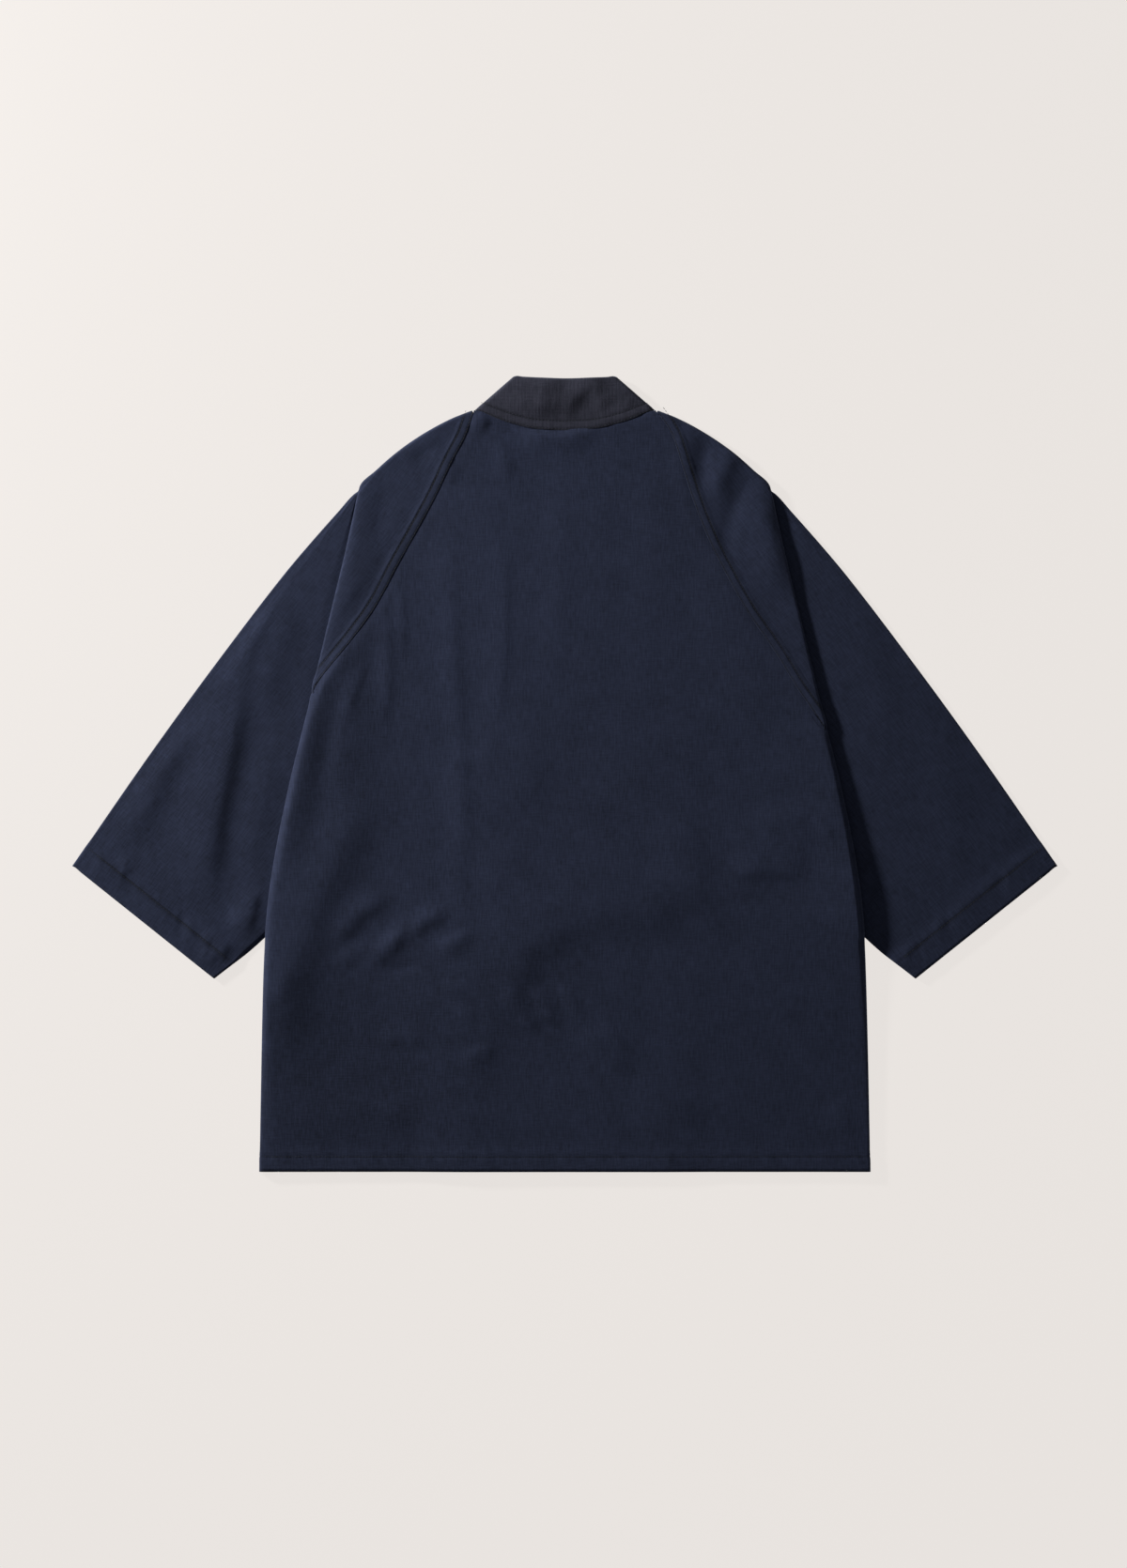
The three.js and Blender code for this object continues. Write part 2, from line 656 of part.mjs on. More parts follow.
function rowEnd(side, row) {
  const { foot, at } = seamLine(side);
  if (row.share !== undefined) return at(row.share);
  if (row.hidden !== undefined) return mix(foot, ARMPIT.up, row.hidden);
  return row.up;
}

// Fronts

const FRONT_COLUMNS = [0, 0.2, 0.26, 0.32, 0.5, 0.75, 1]; // shares of a front's width
const LAP_EDGE = { from: 62, to: 95 }; // how far out the right front is raised by the lap
const LAP_TOP = { from: 190, to: 255 };
function lapRise(side, out, up) {
  if (side.name === "left") return 0;
  const beside = 1 - smoothStep(LAP_EDGE.from, LAP_EDGE.to, out);
  return LAP_RISE * beside * (1 - smoothStep(LAP_TOP.from, LAP_TOP.to, up));
}

function frontRows() {
  const sleeve = [...HEAD_SECTIONS.slice(1), ...PLEAT_SECTIONS, ...TUCKED_SECTIONS];
  const hem = -HALF_LENGTH;
  return [
    ...sleeve.map((s) => ({ up: s.inner, thick: 0 })),
    { up: ARMPIT.up, thick: 0 },
    ...BACK_ROWS.map((up) => ({ up, thick: 0 })),
    { up: hem + BODY_HEM + HEM_STEP, thick: 0 },
    { up: hem + BODY_HEM, thick: (HEM_WALL - CLOTH) / 2, hem: true },
    { up: hem, thick: (HEM_WALL - CLOTH) / 2, hem: true },
  ];
}

function makeFront(side) {
  const rows = frontRows();
  const points = rows.map(({ up, thick }) => {
    const bandEdge = new THREE.Vector2(bandSeamOut(up) + SEAM_GAP / 2, up);
    const far =
      up > ARMPIT.up
        ? edgePoint(armholeOut, up).addScaledVector(outward(armholeOut, up), -SEAM_GAP / 2)
        : new THREE.Vector2(sideSeamOut(Math.min(up, ARMPIT.up)) - SEAM_GAP / 2, up);
    return FRONT_COLUMNS.map((share) => {
      const point = bandEdge.clone().lerp(far, share);
      const height = FLOOR_PLY + thick + lapRise(side, point.x, point.y);
      return new THREE.Vector3(point.x, point.y, height);
    });
  });
  return clothWall(placed(points, side), (i) => (rows[i].hem ? HEM_WALL : CLOTH));
}

// Collar band

const BAND_FLOOR = BAND_WALL / 2;
const BAND_STEPS = 4; // across the band
const BACK_BAND_SECTIONS = 14;
const COLLAR_DENTS = [
  { name: "left dent", x0: -18, y0: 398, x1: -26, y1: 362, width: 7, rise: -0.9 },
  { name: "middle ridge", x0: -6, y0: 400, x1: -12, y1: 366, width: 7, rise: 0.9 },
  { name: "slanting dent", x0: 22, y0: 396, x1: 2, y1: 364, width: 8, rise: -1.0 },
  { name: "right swell", x0: 38, y0: 396, x1: 44, y1: 372, width: 12, rise: 0.8 },
];

// One section of the front band: from its seam to its free edge.
function frontBandSection(side, up) {
  const away = outward(bandSeamOut, up);
  const seam = new THREE.Vector2(bandSeamOut(up) - SEAM_GAP / 2, up);
  const free = seam.clone().addScaledVector(away, -BAND_WIDTH);
  free.y = Math.max(free.y, -HALF_LENGTH);
  return bandSection(seam, free, () => BAND_FLOOR + lapRise(side, 0, up));
}

function bandSection(seam, free, heightAt) {
  return Array.from({ length: BAND_STEPS + 1 }, (_, j) => {
    const share = j / BAND_STEPS;
    const out = mix(seam.x, free.x, share);
    const up = mix(seam.y, free.y, share);
    return new THREE.Vector3(out, up, heightAt(out, up));
  });
}

const CORNER_STEPS = 6;
const CORNER_TRIM = 0.75; // keeps the band's seam edge off the back as it rolls inwards
function cornerSections(low, high) {
  const seam = new THREE.Vector2(COLLAR_CORNER.out, COLLAR_CORNER.up);
  const free = new THREE.Vector2(COLLAR_TIP.out, COLLAR_TIP.up);
  const away = new THREE.Vector2(seam.y - free.y, free.x - seam.x).negate().normalize();
  const radius = (high - low) / 2;
  return Array.from({ length: CORNER_STEPS + 1 }, (_, i) => {
    const angle = (Math.PI * i) / CORNER_STEPS;
    const shift = radius * Math.sin(angle) - radius - BAND_WALL / 2;
    const height = (low + high) / 2 - radius * Math.cos(angle);
    const a = seam.clone().addScaledVector(away, shift);
    const b = free.clone().addScaledVector(away, shift);
    const trim = (-shift * CORNER_TRIM) / BAND_WIDTH;
    return bandSection(a.clone().lerp(b, trim), b, () => height);
  });
}

const COLLAR_SAG = 2.5; // how far the free edge dips between the two tips
function makeCollar() {
  const high = BACK_PLY;
  const frontEnds = [SLEEVE_NECK + 23, SLEEVE_NECK, ...frontRows().map((row) => row.up)];
  const [left, right] = SIDES.map((side) => [
    ...cornerSections(BAND_FLOOR, high).reverse(),
    ...frontEnds.map((up) => frontBandSection(side, up)),
  ]);
  const inset = 1 - (high - BAND_FLOOR) / COLLAR_CORNER.out;
  const across = [];
  for (let i = 1; i < BACK_BAND_SECTIONS; i++) {
    const share = mix(-1, 1, i / BACK_BAND_SECTIONS) * inset;
    const seamOut = COLLAR_CORNER.out * share;
    const seam = new THREE.Vector2(seamOut, neckSeamUp(Math.abs(seamOut)) + SEAM_GAP / 2);
    const sag = COLLAR_SAG * (1 - share * share);
    const free = new THREE.Vector2(COLLAR_TIP.out * share, COLLAR_TIP.up - sag);
    across.push(bandSection(seam, free, (x, y) => high + foldRise(COLLAR_DENTS, x, y)));
  }
  const sections = [
    ...placed(left, SIDES[0]).reverse(),
    ...across,
    ...placed(right, SIDES[1]),
  ];
  return clothWall(sections, () => BAND_WALL);
}

// Materials and the garment

const bodyCloth = () =>
  new THREE.MeshStandardMaterial({ color: 0x232838, roughness: 0.9, metalness: 0 });
const bandCloth = () =>
  new THREE.MeshStandardMaterial({ color: 0x26252e, roughness: 0.85, metalness: 0 });

function named(name, geometry, material) {
  const mesh = new THREE.Mesh(geometry, material);
  mesh.name = name;
  return mesh;
}

const jacket = new THREE.Group();
jacket.add(named("back", makeBack(), bodyCloth()));
for (const side of SIDES) {
  jacket.add(named(`sleeve_${side.name}`, makeSleeve(side), bodyCloth()));
  jacket.add(named(`front_${side.name}`, makeFront(side), bodyCloth()));
}
jacket.add(named("collar_band", makeCollar(), bandCloth()));

export default jacket;
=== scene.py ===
# %% [markdown]
# # A noragi jacket, laid flat with its back up
# The jacket lies face down, so its back is on top. Flat cloth is still a stack: the fronts touch the
# floor, the sleeves are flat tubes, and at each side the body is folded over the sleeve. The packed
# model fixes where each ply lies. Here each piece is made again as a finer sheet, creased, hemmed,
# dressed in a slubby cotton and stitched.

# %% The frame
import math
from collections import namedtuple

import bpy
import numpy as np
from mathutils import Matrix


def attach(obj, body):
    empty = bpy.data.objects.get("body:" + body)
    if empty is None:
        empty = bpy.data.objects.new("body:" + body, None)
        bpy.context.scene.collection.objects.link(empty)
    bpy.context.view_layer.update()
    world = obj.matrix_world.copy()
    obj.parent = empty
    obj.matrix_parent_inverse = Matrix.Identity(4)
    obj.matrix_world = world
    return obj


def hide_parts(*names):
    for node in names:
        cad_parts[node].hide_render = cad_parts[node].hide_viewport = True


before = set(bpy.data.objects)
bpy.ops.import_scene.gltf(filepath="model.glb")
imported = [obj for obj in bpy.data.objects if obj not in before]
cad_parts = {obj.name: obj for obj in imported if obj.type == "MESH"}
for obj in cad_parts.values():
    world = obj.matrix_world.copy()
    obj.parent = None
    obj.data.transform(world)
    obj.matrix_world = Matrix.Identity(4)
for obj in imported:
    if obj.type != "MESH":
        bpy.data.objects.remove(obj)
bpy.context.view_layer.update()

# %% [markdown]
# ## Sizes
# All lengths here are real millimetres, and meshes are made in metres at the very end. The heights
# follow from the cloth: each ply lies one wall and one gap of air over the ply below it.

# %% Sizes
MM = 0.001
CLOTH, BAND_WALL, HEM_WALL = 1.0, 1.8, 1.6
LAYER_GAP = 0.5  # air between plies that lie on each other
SOFT_AIR = 1.2  # more air under the top ply, for its troughs to sink into
SEAM_GAP = 0.3  # between two pieces at a seam
BAND_WIDTH, BODY_HEM, CUFF_HEM, FELL = 52, 17, 26, 9.5
STITCH_INSET = 1.5  # from a hem's inner edge to its stitching
HALF_LENGTH, HALF_HEM = 406, 312

LAYER = CLOTH + LAYER_GAP
FLOOR_PLY = CLOTH / 2
SLEEVE_PLY = FLOOR_PLY + LAYER
TUCK_PLY = SLEEVE_PLY + LAYER
BACK_PLY = TUCK_PLY + LAYER + SOFT_AIR
BAND_FLOOR = BAND_WALL / 2
LAP_RISE = 2.2  # how far the right front rises to lap over the left one's band

PLEAT_TOP = 292  # the side fold starts at this height, on the overarm edge
ARMPIT = np.array([195.0, -8.0])
BODY_EXIT = -167  # the sleeve comes out from under the body's side at this height
COLLAR_CORNER = np.array([92.0, 371.5])
COLLAR_TIP = np.array([54.0, 406.0])
print("the top ply lies", round(BACK_PLY, 2), "mm up")

# %% [markdown]
# ## The cut, as it lies
# Each table is one line on the laid-out jacket, told as out, from the middle to a side, and up, towards
# the collar. One table serves both halves. A smooth curve goes through its rows without swinging past
# them, which matters where a line turns a corner.

# %% Lines on the jacket
OVERARM = [
    (95, 371), (104, 368), (124, 359), (142, 349), (170, 330), (192, 311), (210, 292),
    (245, 253), (278, 215), (352, 119), (422, 23), (503, -94),
]
SIDE_FOLD = [
    (210, 292), (224, 228), (244, 145), (263, 64), (281, -9), (296, -83), (303, -130),
    (306, -167), (309, -260), (HALF_HEM, -HALF_LENGTH),
]
TUCK_FOLD = [(210, 292), (208, 200), (203, 90), (195, -8)]
FRONT_ARMHOLE = [
    (84.3, 332), (93, 298), (106, 250), (123, 190), (142, 130), (164, 65), (195, -8),
    (228, -62), (266, -120), (307, -168), (358, -209),
]
BAND_SEAM = [
    (92, 371.5), (84, 332), (63, 235), (42, 137), (20, 35), (6, -35), (0, -90), (0, -200),
    (0, -HALF_LENGTH),
]
NECK_SEAM = [(0, 350.5), (28, 352), (57, 358.5), (75, 365), (92, 371.5)]


def tangents(slope):
    """The slope at each row of a smooth curve, level where the rows turn back."""
    before, after = slope[:-1], slope[1:]
    same_way = before * after > 0
    inner = np.where(same_way, 2 * before * after / np.where(same_way, before + after, 1), 0)
    return np.concatenate([slope[:1], inner, slope[-1:]])


def between(start, end, leave, arrive, span, share):
    """A place between two rows of a smooth curve, from the slopes at both."""
    straight = start + (end - start) * share * share * (3 - 2 * share)
    return straight + span * share * (1 - share) * ((1 - share) * leave - share * arrive)


def smooth_line(table, read=0, along=1):
    """A curve through the rows of a table that never swings past them."""
    rows = sorted(table, key=lambda row: row[along])
    at = np.array([row[along] for row in rows], float)
    value = np.array([row[read] for row in rows], float)
    tangent = tangents(np.diff(value) / np.diff(at))

    def read_at(x):
        i = np.clip(np.searchsorted(at, x) - 1, 0, len(at) - 2)
        span = at[i + 1] - at[i]
        share = np.clip((x - at[i]) / span, 0, 1)
        return between(value[i], value[i + 1], tangent[i], tangent[i + 1], span, share)

    return read_at


overarm_out, side_fold_out, tuck_fold_out, armhole_out, band_seam_out = (
    smooth_line(table) for table in (OVERARM, SIDE_FOLD, TUCK_FOLD, FRONT_ARMHOLE, BAND_SEAM)
)
neck_seam_up = smooth_line(NECK_SEAM, read=1, along=0)

# %% [markdown]
# The back armhole seams run a little differently on the two sides, and the right side fold stands
# higher, so it throws a broad shadow on its sleeve.

# %% The two sides
# Each side's roll is told row by row from the shoulder down: its place, its height, and how far in
# from the fold its crest lies. It fades over the reach, and the fold's lip has a share of its height.
Side = namedtuple("Side", "name sign underarm_step swell reach lip roll seam")
LEFT_ROLL = [
    (302, 0, 6), (270, 1.0, 7), (200, 1.4, 7), (100, 1.1, 8), (20, 1.2, 8), (-50, 1.8, 7),
    (-110, 1.5, 7), (-160, 1.5, 7), (-240, 1.3, 8), (-340, 0.6, 9),
]
RIGHT_ROLL = [
    (302, 0, 6), (250, 0.2, 6), (196, 0.6, 6), (150, 1.0, 6), (90, 1.8, 6), (10, 3.2, 6),
    (-32, 4.0, 6), (-80, 5.6, 6), (-118, 6.9, 6), (-150, 6.6, 6), (-180, 4.0, 7), (-240, 1.8, 8),
    (-340, 0.4, 10),
]
SIDES = [
    Side("left", -1, 2.8, 0.6, 2.8, 0.2, LEFT_ROLL, [
        (92.3, 371), (100, 347), (113, 322), (132, 282), (146, 256), (169, 215), (193, 170),
        (216, 138), (238, 111), (249, 97), (256, 84),
    ]),
    Side("right", 1, 0.8, 0.4, 9.0, 0.7, RIGHT_ROLL, [
        (92.3, 371), (108, 348), (120, 312), (132, 275), (147, 238), (164, 204), (186, 165),
        (213, 126), (238, 85), (252, 65), (264, 47),
    ]),
]


def smooth_step(low, high, value):
    share = np.clip((value - low) / (high - low), 0, 1)
    return share * share * (3 - 2 * share)


def edge_at(line, up):
    """A point of an edge, and the direction that points away from the jacket, square to the edge."""
    away = np.array([1, (line(up - 1) - line(up + 1)) / 2])
    return np.array([line(up), up]), away / np.hypot(*away)


def seam_up(side, share):
    """The height of the back armhole seam at a share of its way down."""
    return side.seam[0][1] + (side.seam[-1][1] - side.seam[0][1]) * share


def armhole_point(side, share, to_sleeve):
    """A point of the back armhole seam, half the seam's gap towards the sleeve (1) or the back (-1)."""
    point, away = edge_at(smooth_line(side.seam), seam_up(side, share))
    return point + away * to_sleeve * SEAM_GAP / 2


def hidden_seam_point(side, share):
    """Under the back the seam goes on from its visible end to the armpit."""
    end = np.array(side.seam[-1], float)
    return end + (ARMPIT - end) * share


# How far the top ply settles towards the hem's corners, and between which places
SETTLE, SETTLE_UP, SETTLE_OUT = 2.1, (-150, -370), (90, 170)


def rest_height(side, out, up):
    """Height of the top ply before any crease: it rolls up at the side folds and settles at the hem."""
    crest = smooth_line(side.roll, read=2, along=0)(up)
    beside = np.maximum(0, side_fold_out(up) - out) / crest
    near = 0.5 * np.minimum(1, beside) + 0.5 * np.sin(np.pi / 2 * np.minimum(1, beside))
    beyond = np.exp(-((np.maximum(0, beside - 1) / side.reach) ** 1.4))
    roll = smooth_line(side.roll, read=1, along=0)(up) * (side.lip + (1 - side.lip) * near) * beyond
    settle = SETTLE * smooth_step(*SETTLE_UP, up) * smooth_step(*SETTLE_OUT, out)
    return BACK_PLY + roll - settle


print("side fold at the hem", round(float(side_fold_out(-HALF_LENGTH)), 1), "mm out")

# %% [markdown]
# ## Sections
# A folded sheet is easiest to draw one section at a time, as a tailor's string laid across the plies.
# A section is a row of points, and each point holds out, up, height and two weights: how much of the
# back's creases it takes, and how much of the sleeve's. A run is a straight stretch and a turn is the
# half round of a fold.

# %% Runs and turns
STEPS = dict(floor=5, turn=5, run=7, tuck=3, head=6)
BACK_STEPS, DROP_STEPS = 8, 3
TAIL = 3.0  # length of the last stretch before an end that is hidden or sewn
# How far in from a side fold the extra points of the back lie, where it rolls up to the fold
ROLL_STOPS = (64, 44, 30, 20, 13, 8, 4.5, 2)
# How far from its edge the extra points of a felled seam lie, so that its ridge is crisp
FELL_STOPS = (14.0, 10.8, 9.6, 8.4, 7.2, 4.8, 2.4, 1.3, 0.5)


def even(steps, last=0):
    """Even shares of a stretch. Its last point is left to what follows, unless last is 1."""
    return np.arange(steps + last) / steps


def run(start, end, shares, height, top=0.0, sleeve=0.0):
    """A straight stretch on the plan, at one height or at a function's."""
    shares = np.asarray(shares, float)
    section = np.zeros((len(shares), 5))
    section[:, :2] = start + np.outer(shares, end - start)
    section[:, 2] = height(section[:, 0], section[:, 1]) if callable(height) else height
    section[:, 3] = top
    section[:, 4] = sleeve
    return section


def fold_centre(edge, away, low, high):
    """The middle of a fold's round, just inside the fold's edge."""
    return edge - away * (abs(high - low) / 2 + CLOTH / 2)


def turn(edge, away, start, end, steps, top=(0.0, 0.0)):
    """The half round of a fold, from one height to the other."""
    angle = np.pi * even(steps)
    section = np.zeros((steps, 5))
    reach = abs(end - start) / 2 * np.sin(angle)
    section[:, :2] = fold_centre(edge, away, start, end) + np.outer(reach, away)
    rise = (1 - np.cos(angle)) / 2
    section[:, 2] = start + (end - start) * rise
    section[:, 3] = top[0] + (top[1] - top[0]) * rise
    return section


def to_seam(side, start, share):
    """The last stretch of a sleeve's section, with its extra points beside the felled seam."""
    seam = armhole_point(side, share, 1)
    length = np.hypot(*(seam - start))
    stops = 1 - np.array(FELL_STOPS) * min(1, length / (FELL_STOPS[0] + 4)) / length
    shares = np.concatenate([stops[0] * even(STEPS["head"]), stops, [1.0]])
    return run(start, seam, shares, lambda out, up: rest_height(side, out, up), top=1.0)


# %% [markdown]
# ## Sleeve sections
# From the neck to the cuff a sleeve goes through four kinds of section. At the head it is one round
# over the shoulder. Then the pleat opens: the cloth turns under at the tuck and comes back out to the
# side fold. Below the end of the visible seam its end is hidden under the back, and past the armpit
# it is a plain flat tube.

# %% Sleeve tables
# Outer and inner are heights on the overarm edge and on the front armhole. Seam and fold are shares of
# the back armhole seam and of the side fold above its end.
Head = namedtuple("Head", "outer inner seam")
Pleat = namedtuple("Pleat", "outer inner seam fold tuck")
Tucked = namedtuple("Tucked", "outer inner tuck hidden")
Forearm = namedtuple("Forearm", "outer inner tail hem", defaults=(0.0,))

HEADS = [
    Head(371, 332, 0), Head(364, 318, 0.07), Head(350, 299, 0.16), Head(331, 275, 0.27),
    Head(311, 250, 0.38), Head(292, 224, 0.48),
]
PLEATS = [
    Pleat(286, 218, 0.5, 0.03, 283), Pleat(268, 198, 0.58, 0.13, 258), Pleat(240, 170, 0.68, 0.32, 226),
    Pleat(210, 140, 0.78, 0.53, 190), Pleat(180, 108, 0.87, 0.73, 154),
    Pleat(150, 78, 0.94, 0.88, 118), Pleat(120, 48, 1, 1, 80),
]
TUCKEDS = [Tucked(112, 41, 68, 0.16), Tucked(90, 18, 36, 0.55), Tucked(72, 1, 8, 0.88)]
FOREARMS = [
    Forearm(62, -8, 5), Forearm(40, -36, 30), Forearm(14, -78, 60), Forearm(-12, -120, 90),
    Forearm(-36, -156, 110),
]
# How far the two ends of a row climb for each step up the sleeve from the cuff
OVERARM_CLIMB, UNDERARM_CLIMB = 0.826, 0.644
CUFF_TAIL = 110


def hem_rows(width, far, near):
    """Rows beside a hem, as depths in from its edge, with the share of the hem's thickness at each."""
    above = [(width + far, 0), (width + near, 0.4), (width + 0.2, 0.9)]
    return above + [(depth, 1) for depth in (width - STITCH_INSET, width - 3.2, width / 2, 0)]


def cuff_row(depth, hem):
    outer = OVERARM[-1][1] + depth * OVERARM_CLIMB
    inner = FRONT_ARMHOLE[-1][1] + depth * UNDERARM_CLIMB
    return Forearm(outer, inner, CUFF_TAIL, hem)


FOREARMS += [cuff_row(depth, hem) for depth, hem in hem_rows(CUFF_HEM, 15, 7)]

# %% Sleeve sections
HIDDEN_CLEARANCE = 1.5
UNDERARM_DROP = 0.38  # how far the upper ply is sewn down at the underarm seam


def inner_point(up):
    """A point of the sleeve's inner edge, half a seam's gap from the front armhole."""
    point, away = edge_at(armhole_out, up)
    return point + away * SEAM_GAP / 2


def head_section(side, at):
    outer, away = edge_at(overarm_out, at.outer)
    top = rest_height(side, *outer)
    centre = fold_centre(outer, away, FLOOR_PLY, top)
    steps = 3 * STEPS["turn"] + STEPS["run"] + STEPS["tuck"]
    return np.vstack([
        run(inner_point(at.inner), centre, even(STEPS["floor"]), FLOOR_PLY),
        turn(outer, away, FLOOR_PLY, top, steps, top=(0, 1)),
        to_seam(side, centre, at.seam),
    ])


def under_section(at, visible):
    """Sleeve plies from the front armhole, round the overarm edge and in to the tuck."""
    outer, away = edge_at(overarm_out, at.outer)
    centre = fold_centre(outer, away, FLOOR_PLY, SLEEVE_PLY)
    tuck, outward = edge_at(tuck_fold_out, at.tuck)
    tuck_centre = fold_centre(tuck, -outward, SLEEVE_PLY, TUCK_PLY)
    shares = even(STEPS["run"])
    swell = smooth_step(0, 0.12, shares / visible) * (1 - smooth_step(0.9, 1, shares / visible))
    return tuck_centre, np.vstack([
        run(inner_point(at.inner), centre, even(STEPS["floor"]), FLOOR_PLY),
        turn(outer, away, FLOOR_PLY, SLEEVE_PLY, STEPS["turn"]),
        run(centre, tuck_centre, shares, SLEEVE_PLY, sleeve=swell),
        turn(tuck, -outward, SLEEVE_PLY, TUCK_PLY, STEPS["turn"]),
    ])


def pleat_section(side, at):
    fold, away = edge_at(side_fold_out, PLEAT_TOP + (side.seam[-1][1] - PLEAT_TOP) * at.fold)
    top = rest_height(side, *fold)
    centre = fold_centre(fold, away, TUCK_PLY, top)
    outer, tuck = edge_at(overarm_out, at.outer)[0], edge_at(tuck_fold_out, at.tuck)[0]
    visible = min(1, np.hypot(*(outer - fold)) / np.hypot(*(outer - tuck)))
    tuck_centre, under = under_section(at, visible)
    return np.vstack([
        under,
        run(tuck_centre, centre, even(STEPS["tuck"]), TUCK_PLY),
        turn(fold, away, TUCK_PLY, top, STEPS["turn"], top=(0, 1)),
        to_seam(side, centre, at.seam),
    ])


def tucked_section(side, at):
    tuck_centre, under = under_section(at, visible=0.7)
    end = hidden_seam_point(side, at.hidden) - (HIDDEN_CLEARANCE, 0)
    tail_start = end - (end - tuck_centre) / np.hypot(*(end - tuck_centre)) * TAIL
    return np.vstack([
        under,
        run(tuck_centre, tail_start, even(STEPS["tuck"]), TUCK_PLY),
        run(tail_start, end, even(STEPS["turn"] + STEPS["head"] + len(FELL_STOPS), 1), TUCK_PLY),
    ])


def forearm_section(side, at):
    outer, away = edge_at(overarm_out, at.outer)
    inner = inner_point(at.inner)
    thick = (HEM_WALL - CLOTH) / 2 * at.hem
    low, high = FLOOR_PLY + thick, SLEEVE_PLY + 3 * thick
    centre = fold_centre(outer, away, low, high)
    span = np.hypot(*(inner - centre))
    # The back half of the sleeve ends a step inside the front half, at the underarm seam.
    step = side.underarm_step * smooth_step(-8, -60, at.inner) * (1 - 0.8 * at.hem)
    end = inner + (centre - inner) / span * step
    tail = min(at.tail / span, 0.75)
    tail_steps = 2 * STEPS["turn"] + STEPS["tuck"] + STEPS["head"] + len(FELL_STOPS)
    shares = np.concatenate([(1 - tail) * even(STEPS["run"]), 1 - tail + tail * even(tail_steps, 1)])
    swell = smooth_step(0, 0.12, shares) * (1 - 0.85 * smooth_step(0.9, 1, shares))
    over = run(centre, end, shares, high, sleeve=swell)
    over[:, 2] -= UNDERARM_DROP * smooth_step(0.985, 1, shares) * (1 - at.hem)
    return np.vstack([
        run(inner, centre, even(STEPS["floor"]), low),
        turn(outer, away, low, high, STEPS["turn"]),
        over,
    ])


SECTION_KINDS = [
    (head_section, HEADS), (pleat_section, PLEATS), (tucked_section, TUCKEDS), (forearm_section, FOREARMS),
]


def sleeve_sections(side):
    return np.array([section(side, at) for section, table in SECTION_KINDS for at in table])


print("sleeve sections and points", sleeve_sections(SIDES[0]).shape[:2])

# %% [markdown]
# ## The back
# The back is drawn in rows from side to side. Beside the sleeve heads a row ends at the armhole seam.
# Lower down it rolls over the side fold and turns under: in to the hidden seam, then round the
# sleeve's underarm edge, and below the sleeve straight to the side seam.

# %% Back rows
NECK_DIP = [18, 13, 9, 5, 2.5, 1] + [0] * 7  # how far the upper rows hang in the middle
ARMPIT_ROW = -14
BACK_ROWS = [
    ARMPIT_ROW, -35, -63, -91, -119, -142, -156, -165.5, -168.5, -190, -215, -245, -275, -305, -335, -362,
]
HIDDEN_ROWS = [0.02] + [at.hidden for at in TUCKEDS] + [1]
HEM_ROWS = hem_rows(BODY_HEM, 9, 4)
# The side seam's place in from the sleeve's underarm edge, or in from the side fold below the sleeve
WRAP_INSET, SEAM_INSET = 7.6, 9
# The back clears the underarm edge by this much, and runs in this far on its way down to the floor.
ARMPIT_CLEARANCE, WRAP_CLEARANCE, WRAP_SLOPE = 3.4, 1.7, 2.5
NECK_ALLOWANCE, ALLOWANCE_SINK = 7, 1.9


def inward_shares(start, end):
    """Shares of a row of the back, closer together towards its outer end."""
    length = np.hypot(*(end - start))
    near = 1 - np.array(ROLL_STOPS) * min(1, length / 120) / length
    return np.concatenate([near[0] * even(BACK_STEPS), near])


def side_seam_out(up):
    return min(armhole_out(up) - WRAP_INSET, side_fold_out(up) - SEAM_INSET)


def half_back_row(side, kind, at, up, middle_up, hem):
    thick = (HEM_WALL - CLOTH) / 2 * hem
    height = lambda out, y: thick + rest_height(side, out, y)
    middle = np.array([0.0, middle_up])
    if kind == "seam":
        end = armhole_point(side, at, -1)
        tail_start = end + (middle - end) * TAIL / end[0]
        tail = even(STEPS["turn"] + STEPS["tuck"] + DROP_STEPS, 1)
        return np.vstack([
            run(middle, tail_start, inward_shares(middle, tail_start), height, top=1),
            run(tail_start, end, tail, height, top=1),
        ])
    fold, away = edge_at(side_fold_out, up)
    top = float(height(*fold))
    low = TUCK_PLY if up > BODY_EXIT else FLOOR_PLY + thick
    centre = fold_centre(fold, away, low, top)
    over = [
        run(middle, centre, inward_shares(middle, centre), height, top=1),
        turn(fold, away, top, low, STEPS["turn"], top=(1, 0)),
    ]
    seam = np.array([side_seam_out(up) + SEAM_GAP / 2, up])
    if kind == "hidden":
        end = hidden_seam_point(side, at) + (HIDDEN_CLEARANCE if at < 1 else -0.9, 0)
        end[0] = min(end[0], centre[0] - TAIL - 0.4)
        tail_start = end + (TAIL, 0)
        under = [
            run(centre, tail_start, even(STEPS["tuck"]), low),
            run(tail_start, end, even(DROP_STEPS, 1), low),
        ]
    elif up > BODY_EXIT:
        clearance = ARMPIT_CLEARANCE if up == ARMPIT_ROW else WRAP_CLEARANCE
        brink = np.array([armhole_out(up) - clearance, up])
        drop = np.zeros((DROP_STEPS + 1, 5))
        drop[:, 0] = brink[0], brink[0] - WRAP_SLOPE / 2, brink[0] - WRAP_SLOPE, seam[0]
        drop[:, 1] = up
        drop[:, 2] = low, (low + FLOOR_PLY) / 2, FLOOR_PLY, FLOOR_PLY
        under = [run(centre, brink, even(STEPS["tuck"]), low), drop]
    else:
        under = [run(centre, seam, even(STEPS["tuck"] + DROP_STEPS, 1), low)]
    return np.vstack(over + under)


